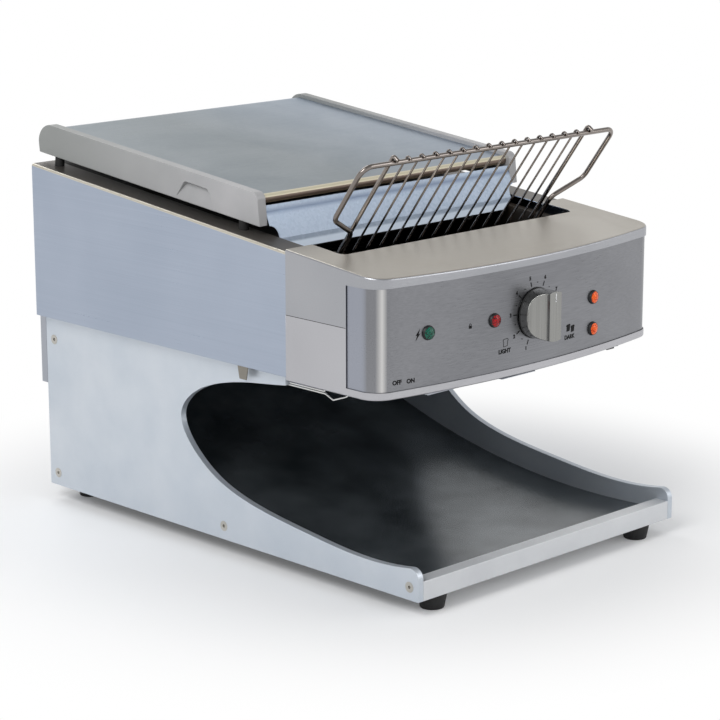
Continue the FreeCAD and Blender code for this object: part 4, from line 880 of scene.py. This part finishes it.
def boltMark():
    x, z = prints["bolt"]
    return [flatShape([(x + across, z + up) for across, up in part]) for part in (boltTop, boltFoot)]


def lockMark():
    x, z = padlock["place"]
    marks = [flatBar(x, z - padlock["bodyDrop"], padlock["bodyWide"], padlock["bodyTall"])]
    turns = [i * math.pi / padlock["loopParts"] for i in range(padlock["loopParts"] + 1)]
    loop = [(x + padlock["loopWide"] * math.cos(turn),
             z + padlock["loopRise"] + padlock["loopTall"] * math.sin(turn)) for turn in turns]
    return marks + [stroke(start, end, padlock["line"]) for start, end in zip(loop, loop[1:])]


def sliceMarks():  # a pale slice as an outline, and dark ones filled
    def corners(x, z, size):
        return [(x + across * size, z + up * size) for across, up in sliceOutline]
    pale = corners(*prints["paleSlice"])
    lines = [stroke(pale[i - 1], pale[i], prints["sliceLine"]) for i in range(len(pale))]
    return lines + [flatShape(corners(*dark)) for dark in prints["darkSlices"]]


def newPiece(piece, pieceName, finish, nodeName):  # named and dressed, it rides with the node
    piece.name = pieceName
    piece.data.name = pieceName
    dress(piece, finish)
    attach(piece, bodyOf(nodeName))


def layOnFascia(marks):
    bpy.ops.object.select_all(action="DESELECT")
    for mark in marks:
        mark.select_set(True)
    bpy.context.view_layer.objects.active = marks[0]
    bpy.ops.object.join()
    sheet = bpy.context.object
    alone(sheet)
    wrap = sheet.modifiers.new("onFascia", "SHRINKWRAP")
    wrap.target = nodes["fascia_panel"]
    wrap.wrap_method = "PROJECT"
    wrap.use_project_y = True
    wrap.use_positive_direction = True
    wrap.use_negative_direction = False
    bpy.ops.object.modifier_apply(modifier=wrap.name)
    bpy.ops.object.mode_set(mode="EDIT")
    bpy.ops.mesh.select_all(action="SELECT")
    bpy.ops.transform.translate(value=(0, -prints["lift"] * mm, 0))
    bpy.ops.object.mode_set(mode="OBJECT")
    skin = sheet.modifiers.new("ink", "SOLIDIFY")
    skin.thickness = prints["thick"] * mm
    skin.offset = 0
    bpy.ops.object.modifier_apply(modifier=skin.name)
    return sheet


fasciaMarks = dialMarks() + wordMarks() + boltMark() + lockMark() + sliceMarks()
newPiece(layOnFascia(fasciaMarks), "fasciaPrint", "blackInk", "fascia_panel")
print("fascia printed")


# a dark strip of painted shade along the seam between the cover and the housing, on both sides

seam = {"tall": 0.7, "proud": 0.12, "deep": 0.6, "clear": 0.5, "round": 0.1}


def addSeam(side):
    low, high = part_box("front_top_cover")
    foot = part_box("front_lower_housing")[1].z
    clear = seam["clear"] * mm
    # the housing's side wall ends where the fascia's opening starts
    opening = min(corner.co.y for corner in nodes["front_lower_housing"].data.vertices
                  if corner.co.x < low.x + clear and abs(corner.co.z - foot) < clear)
    wall, inward = (high.x, -1) if side == "Right" else (low.x, 1)
    front, rear = opening + clear, high.y - clear
    bpy.ops.object.select_all(action="DESELECT")
    bpy.ops.mesh.primitive_cube_add(size=1, scale=(seam["deep"] * mm, rear - front, seam["tall"] * mm),
                                    location=(wall + inward * (seam["deep"] / 2 - seam["proud"]) * mm,
                                              (front + rear) / 2, foot))
    strip = applyPlace(bpy.context.object)
    breakEdges(strip, seam["round"], steps=1)
    # painted shade: a thin black strip standing for the shadow in the seam
    newPiece(strip, "coverSeamShadow" + side, "blackPlastic", "front_top_cover")


addSeam("Left")
addSeam("Right")
print("seams ready")


# a black ring of painted shade round the knob, and the knob's white pointer

knobShadeRing = {"radius": 29.3, "thick": 0.9, "fromBack": 1.1, "round": 72, "sides": 12}
pointer = {"wide": 1.3, "long": 9.0, "dot": 1.1, "deep": 0.25, "fromTop": 2, "dotSides": 24}


def addKnobShadeRing():
    low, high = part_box("control_knob")
    middle = (low + high) / 2
    bpy.ops.object.select_all(action="DESELECT")
    bpy.ops.mesh.primitive_torus_add(major_radius=knobShadeRing["radius"] * mm, major_segments=knobShadeRing["round"],
                                     minor_radius=knobShadeRing["thick"] * mm, minor_segments=knobShadeRing["sides"],
                                     location=(middle.x, high.y - knobShadeRing["fromBack"] * mm, middle.z),
                                     rotation=(math.pi / 2, 0, 0))
    ring = applyPlace(bpy.context.object)
    bpy.ops.object.shade_smooth()
    # painted shade: a black ring standing for the shade at the knob's rim
    newPiece(ring, "knobShadeRing", "footRubber", "control_knob")


def addPointer():  # a line from near the knob's top, with a dot at its lower end
    low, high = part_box("control_knob")
    x = (low.x + high.x) / 2
    top = high.z - pointer["fromTop"] * mm
    long, deep = pointer["long"] * mm, pointer["deep"] * mm
    bpy.ops.object.select_all(action="DESELECT")
    bpy.ops.mesh.primitive_cylinder_add(vertices=pointer["dotSides"], radius=pointer["dot"] * mm, depth=deep,
                                        location=(x, low.y, top - long), rotation=(math.pi / 2, 0, 0))
    dot = bpy.context.object
    bpy.ops.mesh.primitive_cube_add(size=1, location=(x, low.y, top - long / 2),
                                    scale=(pointer["wide"] * mm, deep, long))
    bar = bpy.context.object
    dot.select_set(True)
    bpy.ops.object.join()
    newPiece(applyPlace(bar), "knobPointer", "whiteInk", "control_knob")


addKnobShadeRing()
addPointer()
print("knob ready")
